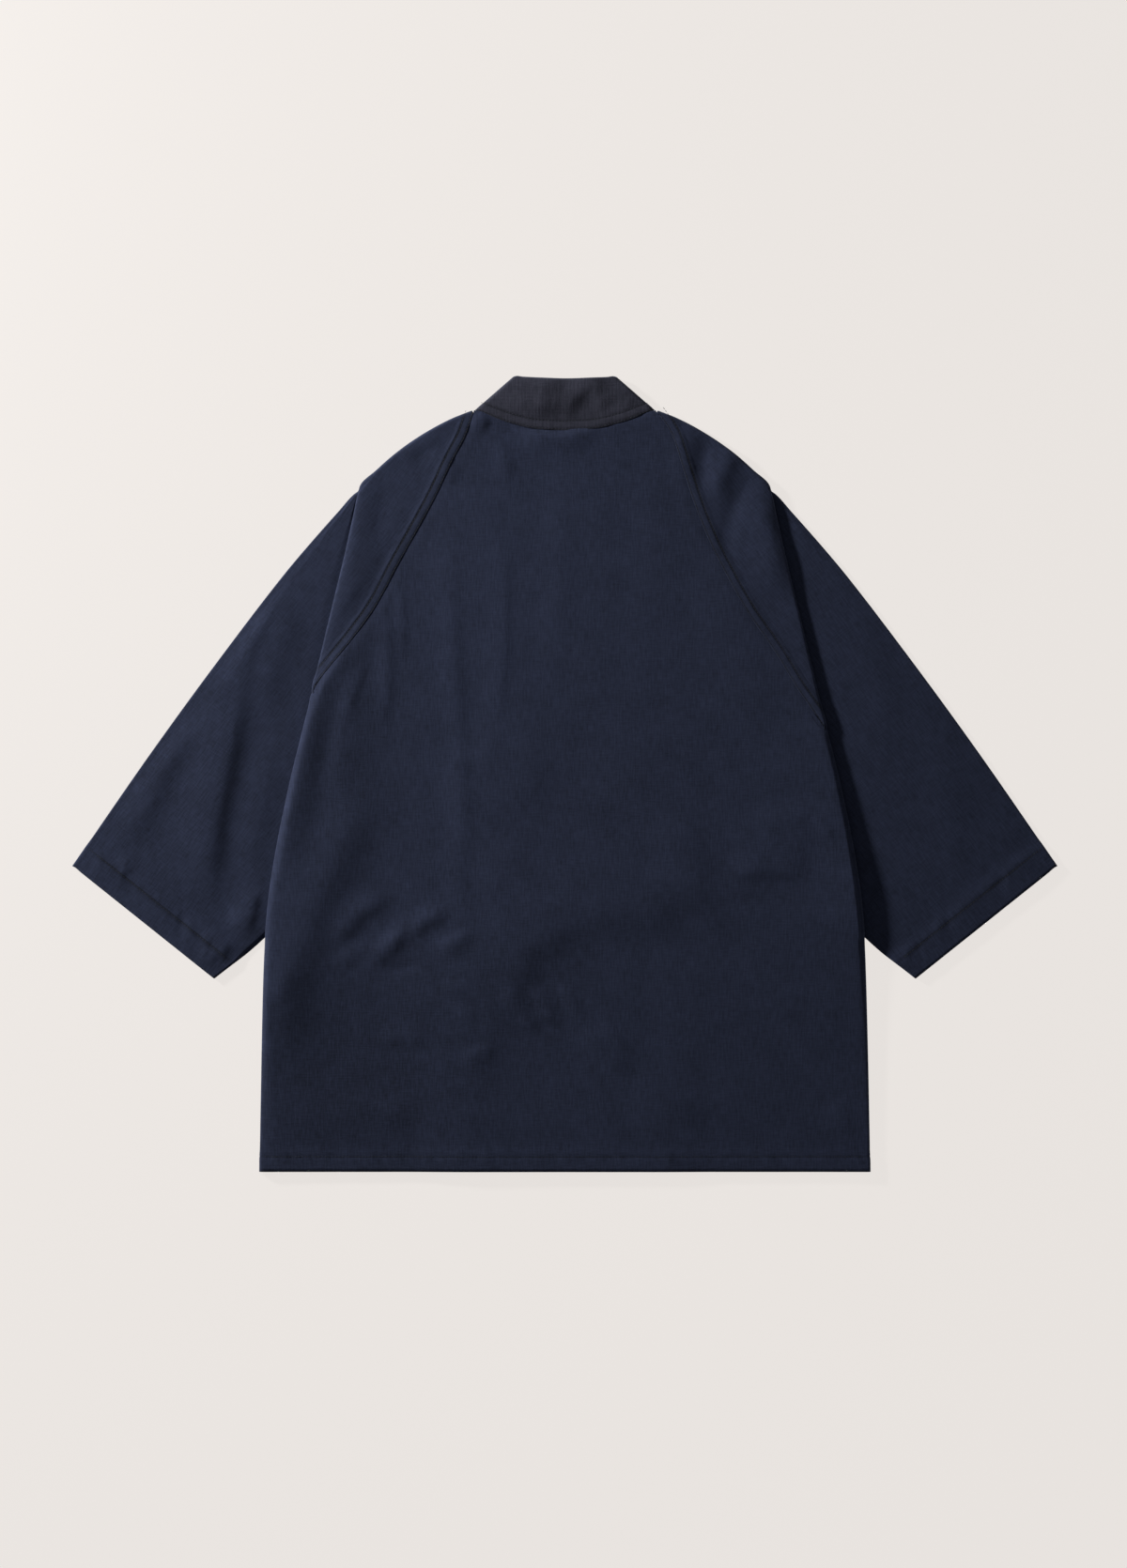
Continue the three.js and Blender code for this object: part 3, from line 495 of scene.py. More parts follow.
def back_sections():
    shares = [at.seam for at in HEADS + PLEATS]
    rows = [("seam", share, dip, 0) for share, dip in zip(shares, NECK_DIP)]
    rows += [("hidden", share, 0, 0) for share in HIDDEN_ROWS]
    rows += [("side", up, 0, 0) for up in BACK_ROWS]
    rows += [("side", -HALF_LENGTH + depth, 0, hem) for depth, hem in HEM_ROWS]
    sections = []
    for kind, at, dip, hem in rows:
        ends = {
            "seam": [seam_up(side, at) for side in SIDES],
            "hidden": [hidden_seam_point(side, at)[1] for side in SIDES],
            "side": [at, at],
        }[kind]
        middle = sum(ends) / 2 - dip
        if kind == "seam" and at == 0:
            middle = NECK_SEAM[0][1] - SEAM_GAP / 2
        left, right = (half_back_row(side, kind, at, up, middle, hem) for side, up in zip(SIDES, ends))
        left[:, 0] *= -1
        sections.append(np.vstack([left[:0:-1], right]))
    sections = np.array(sections)
    neck = sections[0, 1:-1]
    neck[:, 1] = [neck_seam_up(abs(out)) - SEAM_GAP for out in neck[:, 0]]
    # The seam allowance of the neck is turned up inside the band.
    allowance = sections[0].copy()
    share = smooth_step(90, 78, np.abs(allowance[:, 0]))
    allowance[:, 1] += NECK_ALLOWANCE * share
    allowance[:, 2] -= ALLOWANCE_SINK * share
    allowance[:, 3] = 1 - share
    return np.concatenate([allowance[None], sections])


print("back rows and points", back_sections().shape[:2])

# %% [markdown]
# ## The fronts and the collar band
# The fronts lie on the floor, and the right one rises a little to lap over the left one's band. The
# band is a single long strip: up one front, over at the neck's corner, across the back of the neck
# and down again.

# %% Fronts
FRONT_COLUMNS = np.array([0, 0.2, 0.26, 0.32, 0.5, 0.75, 1])


def lap_rise(side, out, up):
    if side.name == "left":
        return 0 * out
    return LAP_RISE * (1 - smooth_step(62, 95, out)) * (1 - smooth_step(190, 255, up))


def front_rows():
    tops = [(at.inner, 0) for at in HEADS[1:] + PLEATS + TUCKEDS]
    ends = [(-HALF_LENGTH + depth, hem) for depth, hem in HEM_ROWS]
    return tops + [(ARMPIT[1], 0)] + [(up, 0) for up in BACK_ROWS] + ends


def front_sections(side):
    sections = []
    for up, hem in front_rows():
        near = np.array([band_seam_out(up) + SEAM_GAP / 2, up])
        if up > ARMPIT[1]:
            point, away = edge_at(armhole_out, up)
            far = point - away * SEAM_GAP / 2
        else:
            far = np.array([side_seam_out(up) - SEAM_GAP / 2, up])
        section = run(near, far, FRONT_COLUMNS, FLOOR_PLY + (HEM_WALL - CLOTH) / 2 * hem)
        section[:, 2] += lap_rise(side, section[:, 0], section[:, 1])
        sections.append(section)
    return np.array(sections)


# %% Collar band
BAND_STOPS = np.array([0, 1.0, 2.4, 8.4, 9.6, 10.8, 18, 28, 40, 47, 52]) / BAND_WIDTH
BACK_BAND_SECTIONS, CORNER_STEPS, CORNER_TRIM, TIP_WEAR = 14, 6, 0.75, 1.3
TOP_EDGE_DIP = 2.5


def front_band_section(side, up):
    edge, away = edge_at(band_seam_out, up)
    seam = edge - (SEAM_GAP / 2, 0)
    free = seam - away * BAND_WIDTH
    free[1] = max(free[1], -HALF_LENGTH)
    return run(seam, free, BAND_STOPS, BAND_FLOOR + lap_rise(side, 0, up))


def corner_sections(low, high):
    along = COLLAR_CORNER - COLLAR_TIP
    away = np.array([-along[1], along[0]]) / np.hypot(*along)
    radius = (high - low) / 2
    sections = []
    for angle in np.pi * np.arange(CORNER_STEPS + 1) / CORNER_STEPS:
        shift = radius * math.sin(angle) - radius - BAND_WALL / 2
        seam = COLLAR_CORNER + away * shift
        # The tip slides in along the top edge, and is worn a little round.
        free = COLLAR_TIP + (shift / away[0], -TIP_WEAR * math.sin(angle) - 0.2)
        seam = seam + (free - seam) * (-shift * CORNER_TRIM / BAND_WIDTH)
        height = (low + high) / 2 - radius * math.cos(angle)
        sections.append(run(seam, free, BAND_STOPS, height, top=smooth_step(low, high, height)))
    return sections


def collar_sections():
    ends = [355, 332] + [up for up, hem in front_rows()]
    halves = []
    for side in SIDES:
        corner = corner_sections(BAND_FLOOR, BACK_PLY)[::-1]
        half = np.array(corner + [front_band_section(side, up) for up in ends])
        half[..., 0] *= side.sign
        halves.append(half)
    inset = 1 - (BACK_PLY - BAND_FLOOR) / COLLAR_CORNER[0]
    across = []
    for i in range(1, BACK_BAND_SECTIONS):
        share = (2 * i / BACK_BAND_SECTIONS - 1) * inset
        seam_out = COLLAR_CORNER[0] * share
        seam = np.array([seam_out, neck_seam_up(abs(seam_out)) + SEAM_GAP / 2])
        free = np.array([COLLAR_TIP[0] * share, COLLAR_TIP[1] - TOP_EDGE_DIP * (1 - share**2)])
        across.append(run(seam, free, BAND_STOPS, BACK_PLY, top=1))
    return np.concatenate([halves[0][::-1], across, halves[1]])


print("band sections and points", collar_sections().shape[:2])

# %% [markdown]
# ## From sections to a fine sheet
# The sections are few. New points go between them on smooth curves, first along each section and then
# from one section to the next, closer together where the sheet shows than where it is hidden.

# %% Refining a sheet
SPACING, BACK_SPACING, BAND_SPACING = 3.4, 4.3, 2.4  # between the points of a sheet where it shows
HIDDEN_SPACING, SMALL_GAP = 9.0, 1.3


def refine(grid, spacing, least=1):
    """Adds points between the rows of a grid, on curves that never swing past the rows."""
    gaps = np.linalg.norm(np.diff(grid[..., :3], axis=0), axis=-1)
    shown = np.maximum(grid[:-1, :, 3:].max(axis=-1), grid[1:, :, 3:].max(axis=-1)) > 0.35
    want = np.where(shown, gaps / spacing, gaps / HIDDEN_SPACING).max(axis=1)
    counts = np.maximum(np.where(gaps.max(axis=1) < SMALL_GAP, 1, least), np.ceil(want - 0.15)).astype(int)
    at = np.concatenate([[0], np.cumsum(gaps.mean(axis=1) + 1e-3)])
    span = np.diff(at)[:, None, None]
    tangent = tangents(np.diff(grid, axis=0) / span)
    rows = [
        between(grid[i], grid[i + 1], tangent[i], tangent[i + 1], span[i], share)
        for i, count in enumerate(counts) for share in even(count)
    ]
    return np.array(rows + [grid[-1]])


def fine_sheet(sections, spacing=SPACING):
    across = refine(np.swapaxes(sections, 0, 1), spacing, least=2)
    return refine(np.swapaxes(across, 0, 1), spacing)


# %% [markdown]
# ## Creases
# The light comes low from the left, so a slope that faces left is bright and one that faces right is
# dark. Each crease is a path over the cloth with a rise, or a sink below zero, and a width on either
# hand as one walks along it. A narrow side is steep and reads as a line, and a wide one as a swell.

# %% Creases
Crease = namedtuple("Crease", "rise left right path")
BACK_CREASES = [
    # The great fold from the waist down the left side: steep on its inner face
    Crease(5.4, 26, 40, [(-190, 8), (-214, -36), (-243, -101), (-266, -154), (-280, -207), (-296, -310)]),
    Crease(1.2, 9, 10, [(-284, -194), (-287, -212), (-292, -234)]),
    # The ridge that runs on from the armhole seam, just inside the side fold
    Crease(4.2, 21, 8, [
        (-190, 172), (-222, 126), (-245, 90), (-260, 50),
        (-271, 0), (-281, -50), (-289, -100), (-296, -150),
    ]),
    Crease(2.8, 30, 13, [(-212, 110), (-222, 60), (-228, 20), (-234, -30)]),
    # The lower side, which falls from the fold towards the middle
    Crease(3.4, 62, 16, [(-300, -150), (-302, -220), (-298, -300), (-292, -400)]),
    # Short folds under the left armhole
    Crease(0.9, 4, 10, [(-203, 118), (-214, 84), (-222, 52)]),
    Crease(1.0, 5, 9, [(-184, 182), (-180, 130), (-181, 84), (-186, 40)]),
    Crease(0.8, 4, 8, [(-168, 196), (-165, 150), (-167, 110)]),
    # Pressed lines down the middle
    Crease(1.0, 9, 13, [(-120, 263), (-116, 177), (-110, 81), (-104, -24), (-106, -110), (-108, -190)]),
    Crease(0.7, 6, 14, [(-60, 250), (-62, 130), (-70, 30)]),
    Crease(0.8, 24, 16, [(-10, 300), (-4, 200), (-16, 90)]),
    Crease(0.8, 30, 20, [(84, 320), (92, 220), (84, 120)]),
    # Puckers at the waist
    Crease(2.6, 14, 9, [(-238, -176), (-210, -142), (-176, -124)]),
    Crease(2.2, 8, 10, [(-202, -194), (-180, -174), (-156, -158)]),
    Crease(2.4, 10, 7, [(-160, -168), (-143, -150), (-118, -142)]),
    Crease(1.7, 6, 10, [(-130, -182), (-110, -169), (-92, -160)]),
    Crease(1.0, 4, 9, [(-158, -144), (-172, -170), (-178, -192)]),
    Crease(-1.2, 4, 6, [(-192, -196), (-168, -198), (-146, -194)]),
    Crease(1.2, 6, 10, [(-238, -196), (-214, -180), (-192, -176)]),
    Crease(1.0, 4, 8, [(-124, -212), (-110, -218), (-96, -220)]),
    Crease(0.9, 4, 8, [(-112, -238), (-98, -246), (-88, -250)]),
    # The diagonal that parts the lit upper back from the shaded lower back
    Crease(3.6, 70, 24, [(-78, -290), (-62, -230), (-44, -176), (12, -143), (84, -137), (140, -120)]),
    Crease(1.7, 66, 28, [(20, -150), (90, -138), (164, -106), (260, -104)]),
    Crease(1.6, 44, 24, [(-140, -20), (-92, -34), (-66, -70), (-60, -130)]),
    Crease(1.4, 44, 22, [(6, 10), (62, -20), (110, -64), (130, -120)]),
    Crease(1.6, 36, 20, [(-110, 30), (-60, 10), (-20, -30)]),
    # A crumpled patch below the waist, and short diagonals beside it
    Crease(2.0, 9, 6, [(-66, -222), (-50, -236), (-30, -250)]),
    Crease(1.7, 8, 5, [(-36, -222), (-22, -234), (-8, -244)]),
    Crease(1.6, 7, 8, [(-50, -256), (-24, -248), (0, -250)]),
    Crease(1.2, 6, 6, [(-6, -214), (8, -232), (16, -250)]),
    Crease(2.0, 6, 12, [(16, -258), (40, -281), (72, -306)]),
    Crease(1.3, 4, 9, [(34, -252), (54, -272), (70, -286)]),
    # The right side
    Crease(1.6, 13, 26, [(190, -50), (226, -44), (262, -46)]),
    Crease(2.4, 26, 7, [(166, -104), (190, -98), (216, -99), (250, -103)]),
    Crease(1.0, 5, 8, [(254, -44), (264, -54), (276, -66)]),
    Crease(1.2, 14, 24, [(110, -36), (134, -86), (130, -140)]),
    Crease(1.4, 34, 26, [(132, 210), (176, 110), (206, 30)]),
    # Low down, towards the hem
    Crease(1.3, 12, 6, [(-196, -272), (-166, -270), (-138, -276)]),
    Crease(1.7, 6, 12, [(-106, -291), (-88, -284), (-70, -279)]),
    Crease(1.2, 40, 36, [(-300, -336), (-222, -340), (-150, -330), (-80, -340)]),
    Crease(1.2, 12, 18, [(-236, -328), (-190, -346), (-150, -352)]),
    Crease(1.2, 20, 26, [(60, -340), (150, -330), (230, -346)]),
    Crease(1.0, 8, 14, [(276, -330), (286, -352), (294, -372)]),
    # Round the neck
    Crease(2.0, 6, 9, [(-98, 361), (-86, 361), (-76, 355)]),
    Crease(2.5, 7, 13, [(-52, 347), (-34, 344), (-6, 342), (36, 348)]),
    Crease(0.8, 7, 9, [(-70, 340), (-60, 318), (-62, 296)]),
    # The heads of the sleeves
    Crease(0.8, 12, 16, [(-196, 270), (-206, 224), (-226, 160)]),
    Crease(-0.8, 10, 9, [(-182, 296), (-188, 262), (-196, 236)]),
    Crease(1.3, 9, 12, [(-140, 333), (-122, 316), (-114, 296)]),
    Crease(1.2, 12, 8, [(-172, 322), (-148, 336), (-122, 347)]),
    Crease(0.5, 5, 9, [(-206, 200), (-220, 180), (-230, 160)]),
    Crease(0.5, 6, 10, [(-182, 240), (-198, 214), (-204, 190)]),
    Crease(1.1, 13, 12, [(132, 358), (123, 338), (122, 318), (128, 298)]),
    Crease(-1.2, 8, 10, [(151, 350), (143, 334), (140, 317), (142, 298), (149, 282)]),
    Crease(2.6, 11, 13, [(178, 338), (167, 320), (158, 298), (154, 276)]),
    Crease(-1.3, 9, 8, [(195, 310), (177, 282), (168, 262), (165, 238), (170, 208)]),
    Crease(3.4, 11, 22, [(199, 302), (204, 272), (210, 236), (224, 176)]),
    Crease(-1.2, 9, 11, [(209, 300), (217, 272), (221, 254), (226, 232)]),
]
SLEEVE_CREASES = [
    # The long ridge down the left sleeve, steep towards the body
    Crease(4.4, 12, 36, [(-330, 106), (-343, 24), (-356, -40), (-364, -104), (-362, -142)]),
    Crease(1.7, 13, 26, [(-300, 192), (-317, 150), (-331, 110), (-338, 74)]),
    Crease(2.0, 14, 34, [(-382, 66), (-424, -24), (-450, -76)]),
    Crease(2.0, 20, 24, [(-280, 190), (-296, 120), (-316, 60)]),
    Crease(1.1, 14, 20, [(-300, 30), (-312, -44), (-324, -104)]),
    Crease(1.8, 22, 20, [(-330, 190), (-372, 130), (-400, 70)]),
    # Crumpled cloth where the sleeve comes out from under the body
    Crease(2.2, 6, 14, [(-314, -116), (-319, -134), (-324, -160)]),
    Crease(1.6, 6, 10, [(-344, -140), (-326, -154), (-306, -166)]),
    Crease(1.6, 5, 12, [(-374, -160), (-352, -172), (-336, -184)]),
    Crease(1.2, 4, 8, [(-372, -178), (-352, -188)]),
    Crease(0.8, 6, 10, [(-452, -84), (-446, -104)]),
    # The right sleeve lies almost flat
    Crease(1.0, 40, 60, [(330, 100), (420, -40)]),
    Crease(0.9, 16, 22, [(300, 160), (322, 96), (336, 40)]),
    Crease(0.6, 14, 20, [(380, 10), (400, -60), (396, -110)]),
]
COLLAR_CREASES = [
    Crease(4.2, 15, 42, [(-25, 412), (-26, 390), (-31, 360)]),
    Crease(1.6, 9, 14, [(-9, 410), (-11, 386), (-14, 362)]),
    Crease(3.0, 10, 15, [(40, 412), (26, 399), (6, 383), (-6, 362)]),
    Crease(1.8, 16, 8, [(36, 404), (34, 386), (44, 372)]),
    Crease(1.0, 12, 12, [(56, 400), (60, 384), (72, 374)]),
]


def nearest(path, x, y):
    """Each point's distance to a path, how far along the path it is, and how far to its left."""
    distance, place, left = np.full(x.shape, 1e9), np.zeros(x.shape), np.zeros(x.shape)
    start = 0.0
    for (x0, y0), (x1, y1) in zip(path[:-1], path[1:]):
        run_x, run_y = x1 - x0, y1 - y0
        length = math.hypot(run_x, run_y)
        along = np.clip(((x - x0) * run_x + (y - y0) * run_y) / length, 0, length)
        here = np.hypot(x - (x0 + run_x * along / length), y - (y0 + run_y * along / length))
        closer = here < distance
        place = np.where(closer, start + along, place)
        left = np.where(closer, (run_x * (y - y0) - run_y * (x - x0)) / length, left)
        distance = np.minimum(distance, here)
        start += length
    return distance, place, left


def crease_height(creases, x, y):
    """The height that a table of creases adds over a sheet."""
    total = np.zeros_like(x)
    for crease in creases:
        path = np.array(crease.path, float)
        reach = 2.6 * max(crease.left, crease.right)
        low, high = path.min(axis=0) - reach, path.max(axis=0) + reach
        near = (x > low[0]) & (x < high[0]) & (y > low[1]) & (y < high[1])
        distance, place, left = nearest(path, x[near], y[near])
        length = np.hypot(*np.diff(path, axis=0).T).sum()
        width = crease.right + (crease.left - crease.right) * smooth_step(-3, 3, left)
        taper = smooth_step(0, 0.4, np.minimum(place, length - place) / length + 0.05)
        total[near] += crease.rise * taper * np.exp(-((distance / width) ** 2))
    return total


def cloth_noise(x, y, size, seed):
    """Soft random hills, about one size apart, the same on each run."""
    values = np.random.default_rng(seed).uniform(-1, 1, (256, 256))
    u, v = x / size + 100.5, y / size + 100.5
    i, j = np.floor(u).astype(int), np.floor(v).astype(int)
    s, t = u - i, v - j
    s, t = s * s * (3 - 2 * s), t * t * (3 - 2 * t)
    corner = lambda a, b: values[(i + a) % 256, (j + b) % 256]
    low = corner(0, 0) * (1 - s) + corner(1, 0) * s
    high = corner(0, 1) * (1 - s) + corner(1, 1) * s
    return low * (1 - t) + high * t


def limp(x, y):
    """The slight unevenness of cotton that has been washed and pressed."""
    return (
        0.5 * cloth_noise(x + 0.2 * y, 0.5 * y, 70, 3)
        + 0.16 * cloth_noise(x + 0.1 * y, 0.45 * y - 0.1 * x, 24, 5)
        + 0.05 * cloth_noise(x, 0.4 * y, 9, 7)
    )


DEEPEST_SINK = -1.05
# Painted shade: patches where the cloth is painted darker for the shade of its slopes and of the lamp's
# falloff, and painted light where the depth is below zero: x, y, half width, half height and depth
PAINTED_SHADE_PATCHES = [
    (-215, -306, 120, 110, 1.3), (-224, 0, 42, 90, 0.8), (-30, -220, 60, 60, 0.8),
    (-50, 200, 100, 150, -0.5), (60, -20, 60, 60, 0.4), (-430, 0, 110, 150, 1.0),
]


def dye_depth(x, y):
    """How much painted shade a place gets, about 0 where it gets none; below zero it is painted light."""
    return sum(
        depth * np.exp(-(((x - out) / wide) ** 2) - ((y - up) / high) ** 2)
        for out, up, wide, high, depth in PAINTED_SHADE_PATCHES
    )


def creased(sheet, swell=0.0):
    """Adds the creases to a sheet's heights, and keeps its troughs off the ply below."""
    x, y, top, sleeve = sheet[..., 0], sheet[..., 1], sheet[..., 3], sheet[..., 4]
    rise = crease_height(BACK_CREASES, x, y) + limp(x, y)
    sheet[..., 2] += top * np.maximum(rise, DEEPEST_SINK + 0.2 * np.minimum(0, rise - DEEPEST_SINK))
    rise = crease_height(SLEEVE_CREASES, x, y) + 0.6 * limp(x, y) + swell
    sheet[..., 2] += sleeve * np.maximum(0, rise)
    return sheet


# %% [markdown]
# ## Walls
# A sheet without thickness would show no edge at a hem or seam. Each sheet gets a wall: every point
# moves half the cloth's thickness to either side, and a rounded rim closes the edge. A seam's ridge
# or a hem's step is added on the outside only, as it is sewn.

# %% Building a wall
ROUND_EDGE = 0.12


def unit(v):
    return v / np.maximum(np.linalg.norm(v, axis=-1, keepdims=True), 1e-12)


def directions(points, axis):
    """The direction of a grid along one axis, the same whether its points are near or far apart."""
    steps = unit(np.diff(points, axis=axis))
    first, last = np.take(steps, [0], axis), np.take(steps, [-1], axis)
    return unit(np.concatenate([first, steps], axis) + np.concatenate([steps, last], axis))


def add_object(name, data):
    """A new object in the scene, at the origin."""
    item = bpy.data.objects.new(name, data)
    bpy.context.scene.collection.objects.link(item)
    return item


pieces, points_on = {}, {}


def make_wall(node, sheet, half, relief, facing, uv, material, stitched=0.0):
    """Makes the cloth of a node as a closed wall, in metres, and marks the painted shade along its rows of
    stitches and its patches of painted shade and painted light.
    """
    points = sheet[..., :3]
    rows, columns = points.shape[:2]
    under = rows * columns
    normal = facing * unit(np.cross(directions(points, 1), directions(points, 0)))
    outer = points + normal * (half + relief)[..., None]
    inner = points - normal * half[..., None]
    number = np.arange(under).reshape(rows, columns)
    ring = np.concatenate([number[0, :-1], number[:-1, -1], number[-1, :0:-1], number[:0:-1, 0]])
    # Away from the cloth, at each point of its edge
    away = np.zeros_like(points)
    away[0] -= directions(points, 0)[0]
    away[-1] += directions(points, 0)[-1]
    away[:, 0] -= directions(points, 1)[:, 0]
    away[:, -1] += directions(points, 1)[:, -1]
    flat = lambda grid: grid.reshape(-1, grid.shape[-1])
    rim = flat((outer + inner) / 2)[ring] + ROUND_EDGE * unit(flat(away)[ring])
    everything = np.concatenate([flat(outer), flat(inner), rim])
    everything[:, 2] = np.maximum(everything[:, 2], 0)
    a, b = number[:-1, :-1].ravel(), number[:-1, 1:].ravel()
    c, d = number[1:, 1:].ravel(), number[1:, :-1].ravel()
    edge = 2 * under + np.arange(len(ring))
    next_ring, next_edge = np.roll(ring, -1), np.roll(edge, -1)
    faces = np.concatenate([
        np.stack([a, b, c, d], 1),
        np.stack([a, d, c, b], 1) + under,
        np.stack([ring, edge, next_edge, next_ring], 1),
        np.stack([edge, ring + under, next_ring + under, next_edge], 1),
    ])
    name = node + "_cloth"
    mesh = bpy.data.meshes.new(name)
    mesh.from_pydata((everything * MM).tolist(), [], faces[:, ::-facing].tolist())
    mesh.shade_smooth()
    cloth_uv = np.concatenate([flat(uv), flat(uv), flat(uv)[ring]]) * MM
    corners = np.zeros(len(mesh.loops), int)
    mesh.loops.foreach_get("vertex_index", corners)
    layer = mesh.uv_layers.new(name="cloth")
    layer.data.foreach_set("uv", cloth_uv[corners].astype(np.float32).ravel())
    marks = np.zeros(len(everything))
    marks[:under] = np.broadcast_to(stitched, (rows, columns)).ravel()
    # Patches of painted shade and painted light, for the cotton to darken and lighten its colour by.
    painted_shade_values = dye_depth(everything[:, 0], everything[:, 1])
    for label, values in (("stitched", marks), ("dye_depth", painted_shade_values)):
        attribute = mesh.attributes.new(label, "FLOAT", "POINT")
        attribute.data.foreach_set("value", values.astype(np.float32))
    mesh.validate()
    mesh.materials.append(material)
    pieces[node], points_on[node] = add_object(name, mesh), outer
    area = sum(face.area for face in mesh.polygons) / 2
    print(name, len(mesh.polygons) * 2, "triangles,", round(area, 3), "square metres of cloth")


def grain(sheet, angle=0.0, shift=0.0):
    """Cloth coordinates, with the warp turned to run along a piece."""
    x, y = sheet[..., 0], sheet[..., 1]
    return np.stack([
        x * math.cos(angle) + y * math.sin(angle) + shift,
        y * math.cos(angle) - x * math.sin(angle),
    ], axis=-1)


# %% [markdown]
# ## The cotton
# The cloth is a plain weave of uneven, slubby yarn, dyed a dark navy. From a step away the weave is
# only a texture of short dashes along the warp and the weft, so the pattern is built from noise that
# is stretched along each, with a fine weave under it for the close view. The shader is written as
# sums of values: a small class adds the nodes.

# %% Shader values


class Value:
    """A node's output. Sums and products with it add Math nodes."""

    def __init__(self, tree, socket):
        self.tree, self.socket = tree, socket

    def node(self, kind, settings=None, inputs=None, out=0):
        node = self.tree.nodes.new(kind)
        for key, setting in (settings or {}).items():
            if key == "stops":
                for stop, (place, colour) in zip(node.color_ramp.elements, setting):
                    stop.position, stop.color = place, (*colour, 1)
            else:
                setattr(node, key, setting)
        for key, value in (inputs or {}).items():
            if isinstance(value, Value):
                self.tree.links.new(value.socket, node.inputs[key])
            else:
                node.inputs[key].default_value = value
        return Value(self.tree, node.outputs[out])

    def maths(self, operation, first, second):
        return self.node("ShaderNodeMath", {"operation": operation}, {0: first, 1: second})

    def __add__(self, other):
        return self.maths("ADD", self, other)

    def __sub__(self, other):
        return self.maths("SUBTRACT", self, other)

    def __rsub__(self, other):
        return self.maths("SUBTRACT", other, self)

    def __mul__(self, other):
        return self.maths("MULTIPLY", self, other)

    __radd__, __rmul__ = __add__, __mul__


def scaled(vector, along, across):
    """A vector with its two parts multiplied, so that a noise on it is stretched."""
    return vector.node(
        "ShaderNodeVectorMath", {"operation": "MULTIPLY"}, {0: vector, 1: (across, along, 1)}
    )


def noise(vector, detail=2.0, rough=0.5):
    inputs = {"Vector": vector, "Scale": 1.0, "Detail": detail, "Roughness": rough}
    return vector.node("ShaderNodeTexNoise", {"noise_dimensions": "2D"}, inputs)


# %% The cloth material
# A dye: the two ends of its fading, the colour of the painted shade along rows of stitches, and how
# strongly its slubs show.
Dye = namedtuple("Dye", "deep worn sewn contrast")
THREADS = 1500  # sets the weave's pitch
SHEEN = {"Sheen Weight": 0.22, "Sheen Roughness": 0.55, "Sheen Tint": (0.42, 0.5, 0.75, 1)}


def shaded(name, shade):
    """A material whose surface has the inputs that a function works out from a first value."""
    material = bpy.data.materials.new(name)
    material.use_nodes = True
    tree = material.node_tree
    tree.nodes.clear()
    start = Value(tree, None)
    surface = start.node("ShaderNodeBsdfPrincipled", {}, shade(start))
    output = tree.nodes.new("ShaderNodeOutputMaterial")
    tree.links.new(surface.socket, output.inputs["Surface"])
    return material


def threads(vector, bands):
    """Threads at their real pitch, seen only from near."""
    inputs = {"Vector": vector, "Scale": 0.32, "Distortion": 0.6, "Detail": 1.0}
    return vector.node("ShaderNodeTexWave", {"wave_type": "BANDS", "bands_direction": bands}, inputs, out=1)


def turned(vector):
    """A quarter turn, so that bands that run across a vector run along it."""
    return vector.node("ShaderNodeMapping", {}, {"Vector": vector, "Rotation": (0, 0, math.pi / 2)})


def cotton(start, dye, bands="X"):
    """The inputs of a slubby cotton, in its own dye."""
    place = start.node("ShaderNodeUVMap", {"uv_map": "cloth"})
    # Slubs: thick places in the yarn, a dash long and a thread wide
    warp = noise(scaled(place, along=75, across=620), rough=0.6)
    weft = noise(scaled(place, along=700, across=90))
    patch = noise(scaled(place, along=34, across=34), detail=4)
    slub = warp * 0.62 + weft * 0.38
    across = threads(scaled(place, along=0, across=THREADS), bands)
    along = threads(turned(scaled(place, along=THREADS, across=0)), bands)
    weave = across * 0.5 + along * 0.5

    # Painted shade: the patches of painted shade darken the colour here, and lighten it as painted light
    # where they are below zero.
    depth = start.node("ShaderNodeAttribute", {"attribute_name": "dye_depth"}, out=2)
    fading_and_painted_shade = slub * dye.contrast + patch * 0.2 + weave * 0.1 + (0.43 - dye.contrast / 2) - depth * 0.09
    ramp = {"stops": [(0.32, dye.deep), (0.86, dye.worn)]}
    shaded_dye = fading_and_painted_shade.node("ShaderNodeValToRGB", ramp, {"Fac": fading_and_painted_shade})
    # Painted shade: a row of stitches sinks into the cloth, and the shade in its needle holes is painted
    # dark here.
    stitched = start.node("ShaderNodeAttribute", {"attribute_name": "stitched"}, out=2)
    mixed = {0: stitched * 0.85, 6: shaded_dye, 7: (*dye.sewn, 1)}
    colour = start.node("ShaderNodeMix", {"data_type": "RGBA"}, mixed, out=2)
    height = slub * 0.7 + weave * 0.5 + patch * 0.25
    bump = height.node("ShaderNodeBump", {}, {"Height": height, "Strength": 0.55, "Distance": 0.0005})
    return {
        "Base Color": colour, "Roughness": 0.82 + slub * 0.16, "Normal": bump, "Specular IOR Level": 0.18,
        **SHEEN,
    }


NAVY = Dye((0.0085, 0.0115, 0.026), (0.0335, 0.0425, 0.086), (0.003, 0.0038, 0.0075), 0.78)
CHARCOAL = Dye((0.0165, 0.017, 0.0265), (0.052, 0.0515, 0.0745), (0.006, 0.006, 0.009), 0.75)
navy = shaded("navy_cotton", lambda start: cotton(start, NAVY))
charcoal = shaded("charcoal_twill", lambda start: cotton(start, CHARCOAL, bands="DIAGONAL"))
print("materials", navy.name, charcoal.name)

# %% [markdown]
# ## Ridges and puckers
# A felled seam is four layers thick, so it stands up as a narrow ridge, and a hem is a step. Stitching
# draws the cloth in, so both are puckered: the ridge swells between the stitches in an uneven beat.

# %% Seam relief
FELL_ROWS = (1.2, 8.4)  # the two rows of stitches, from the edge of the felled seam


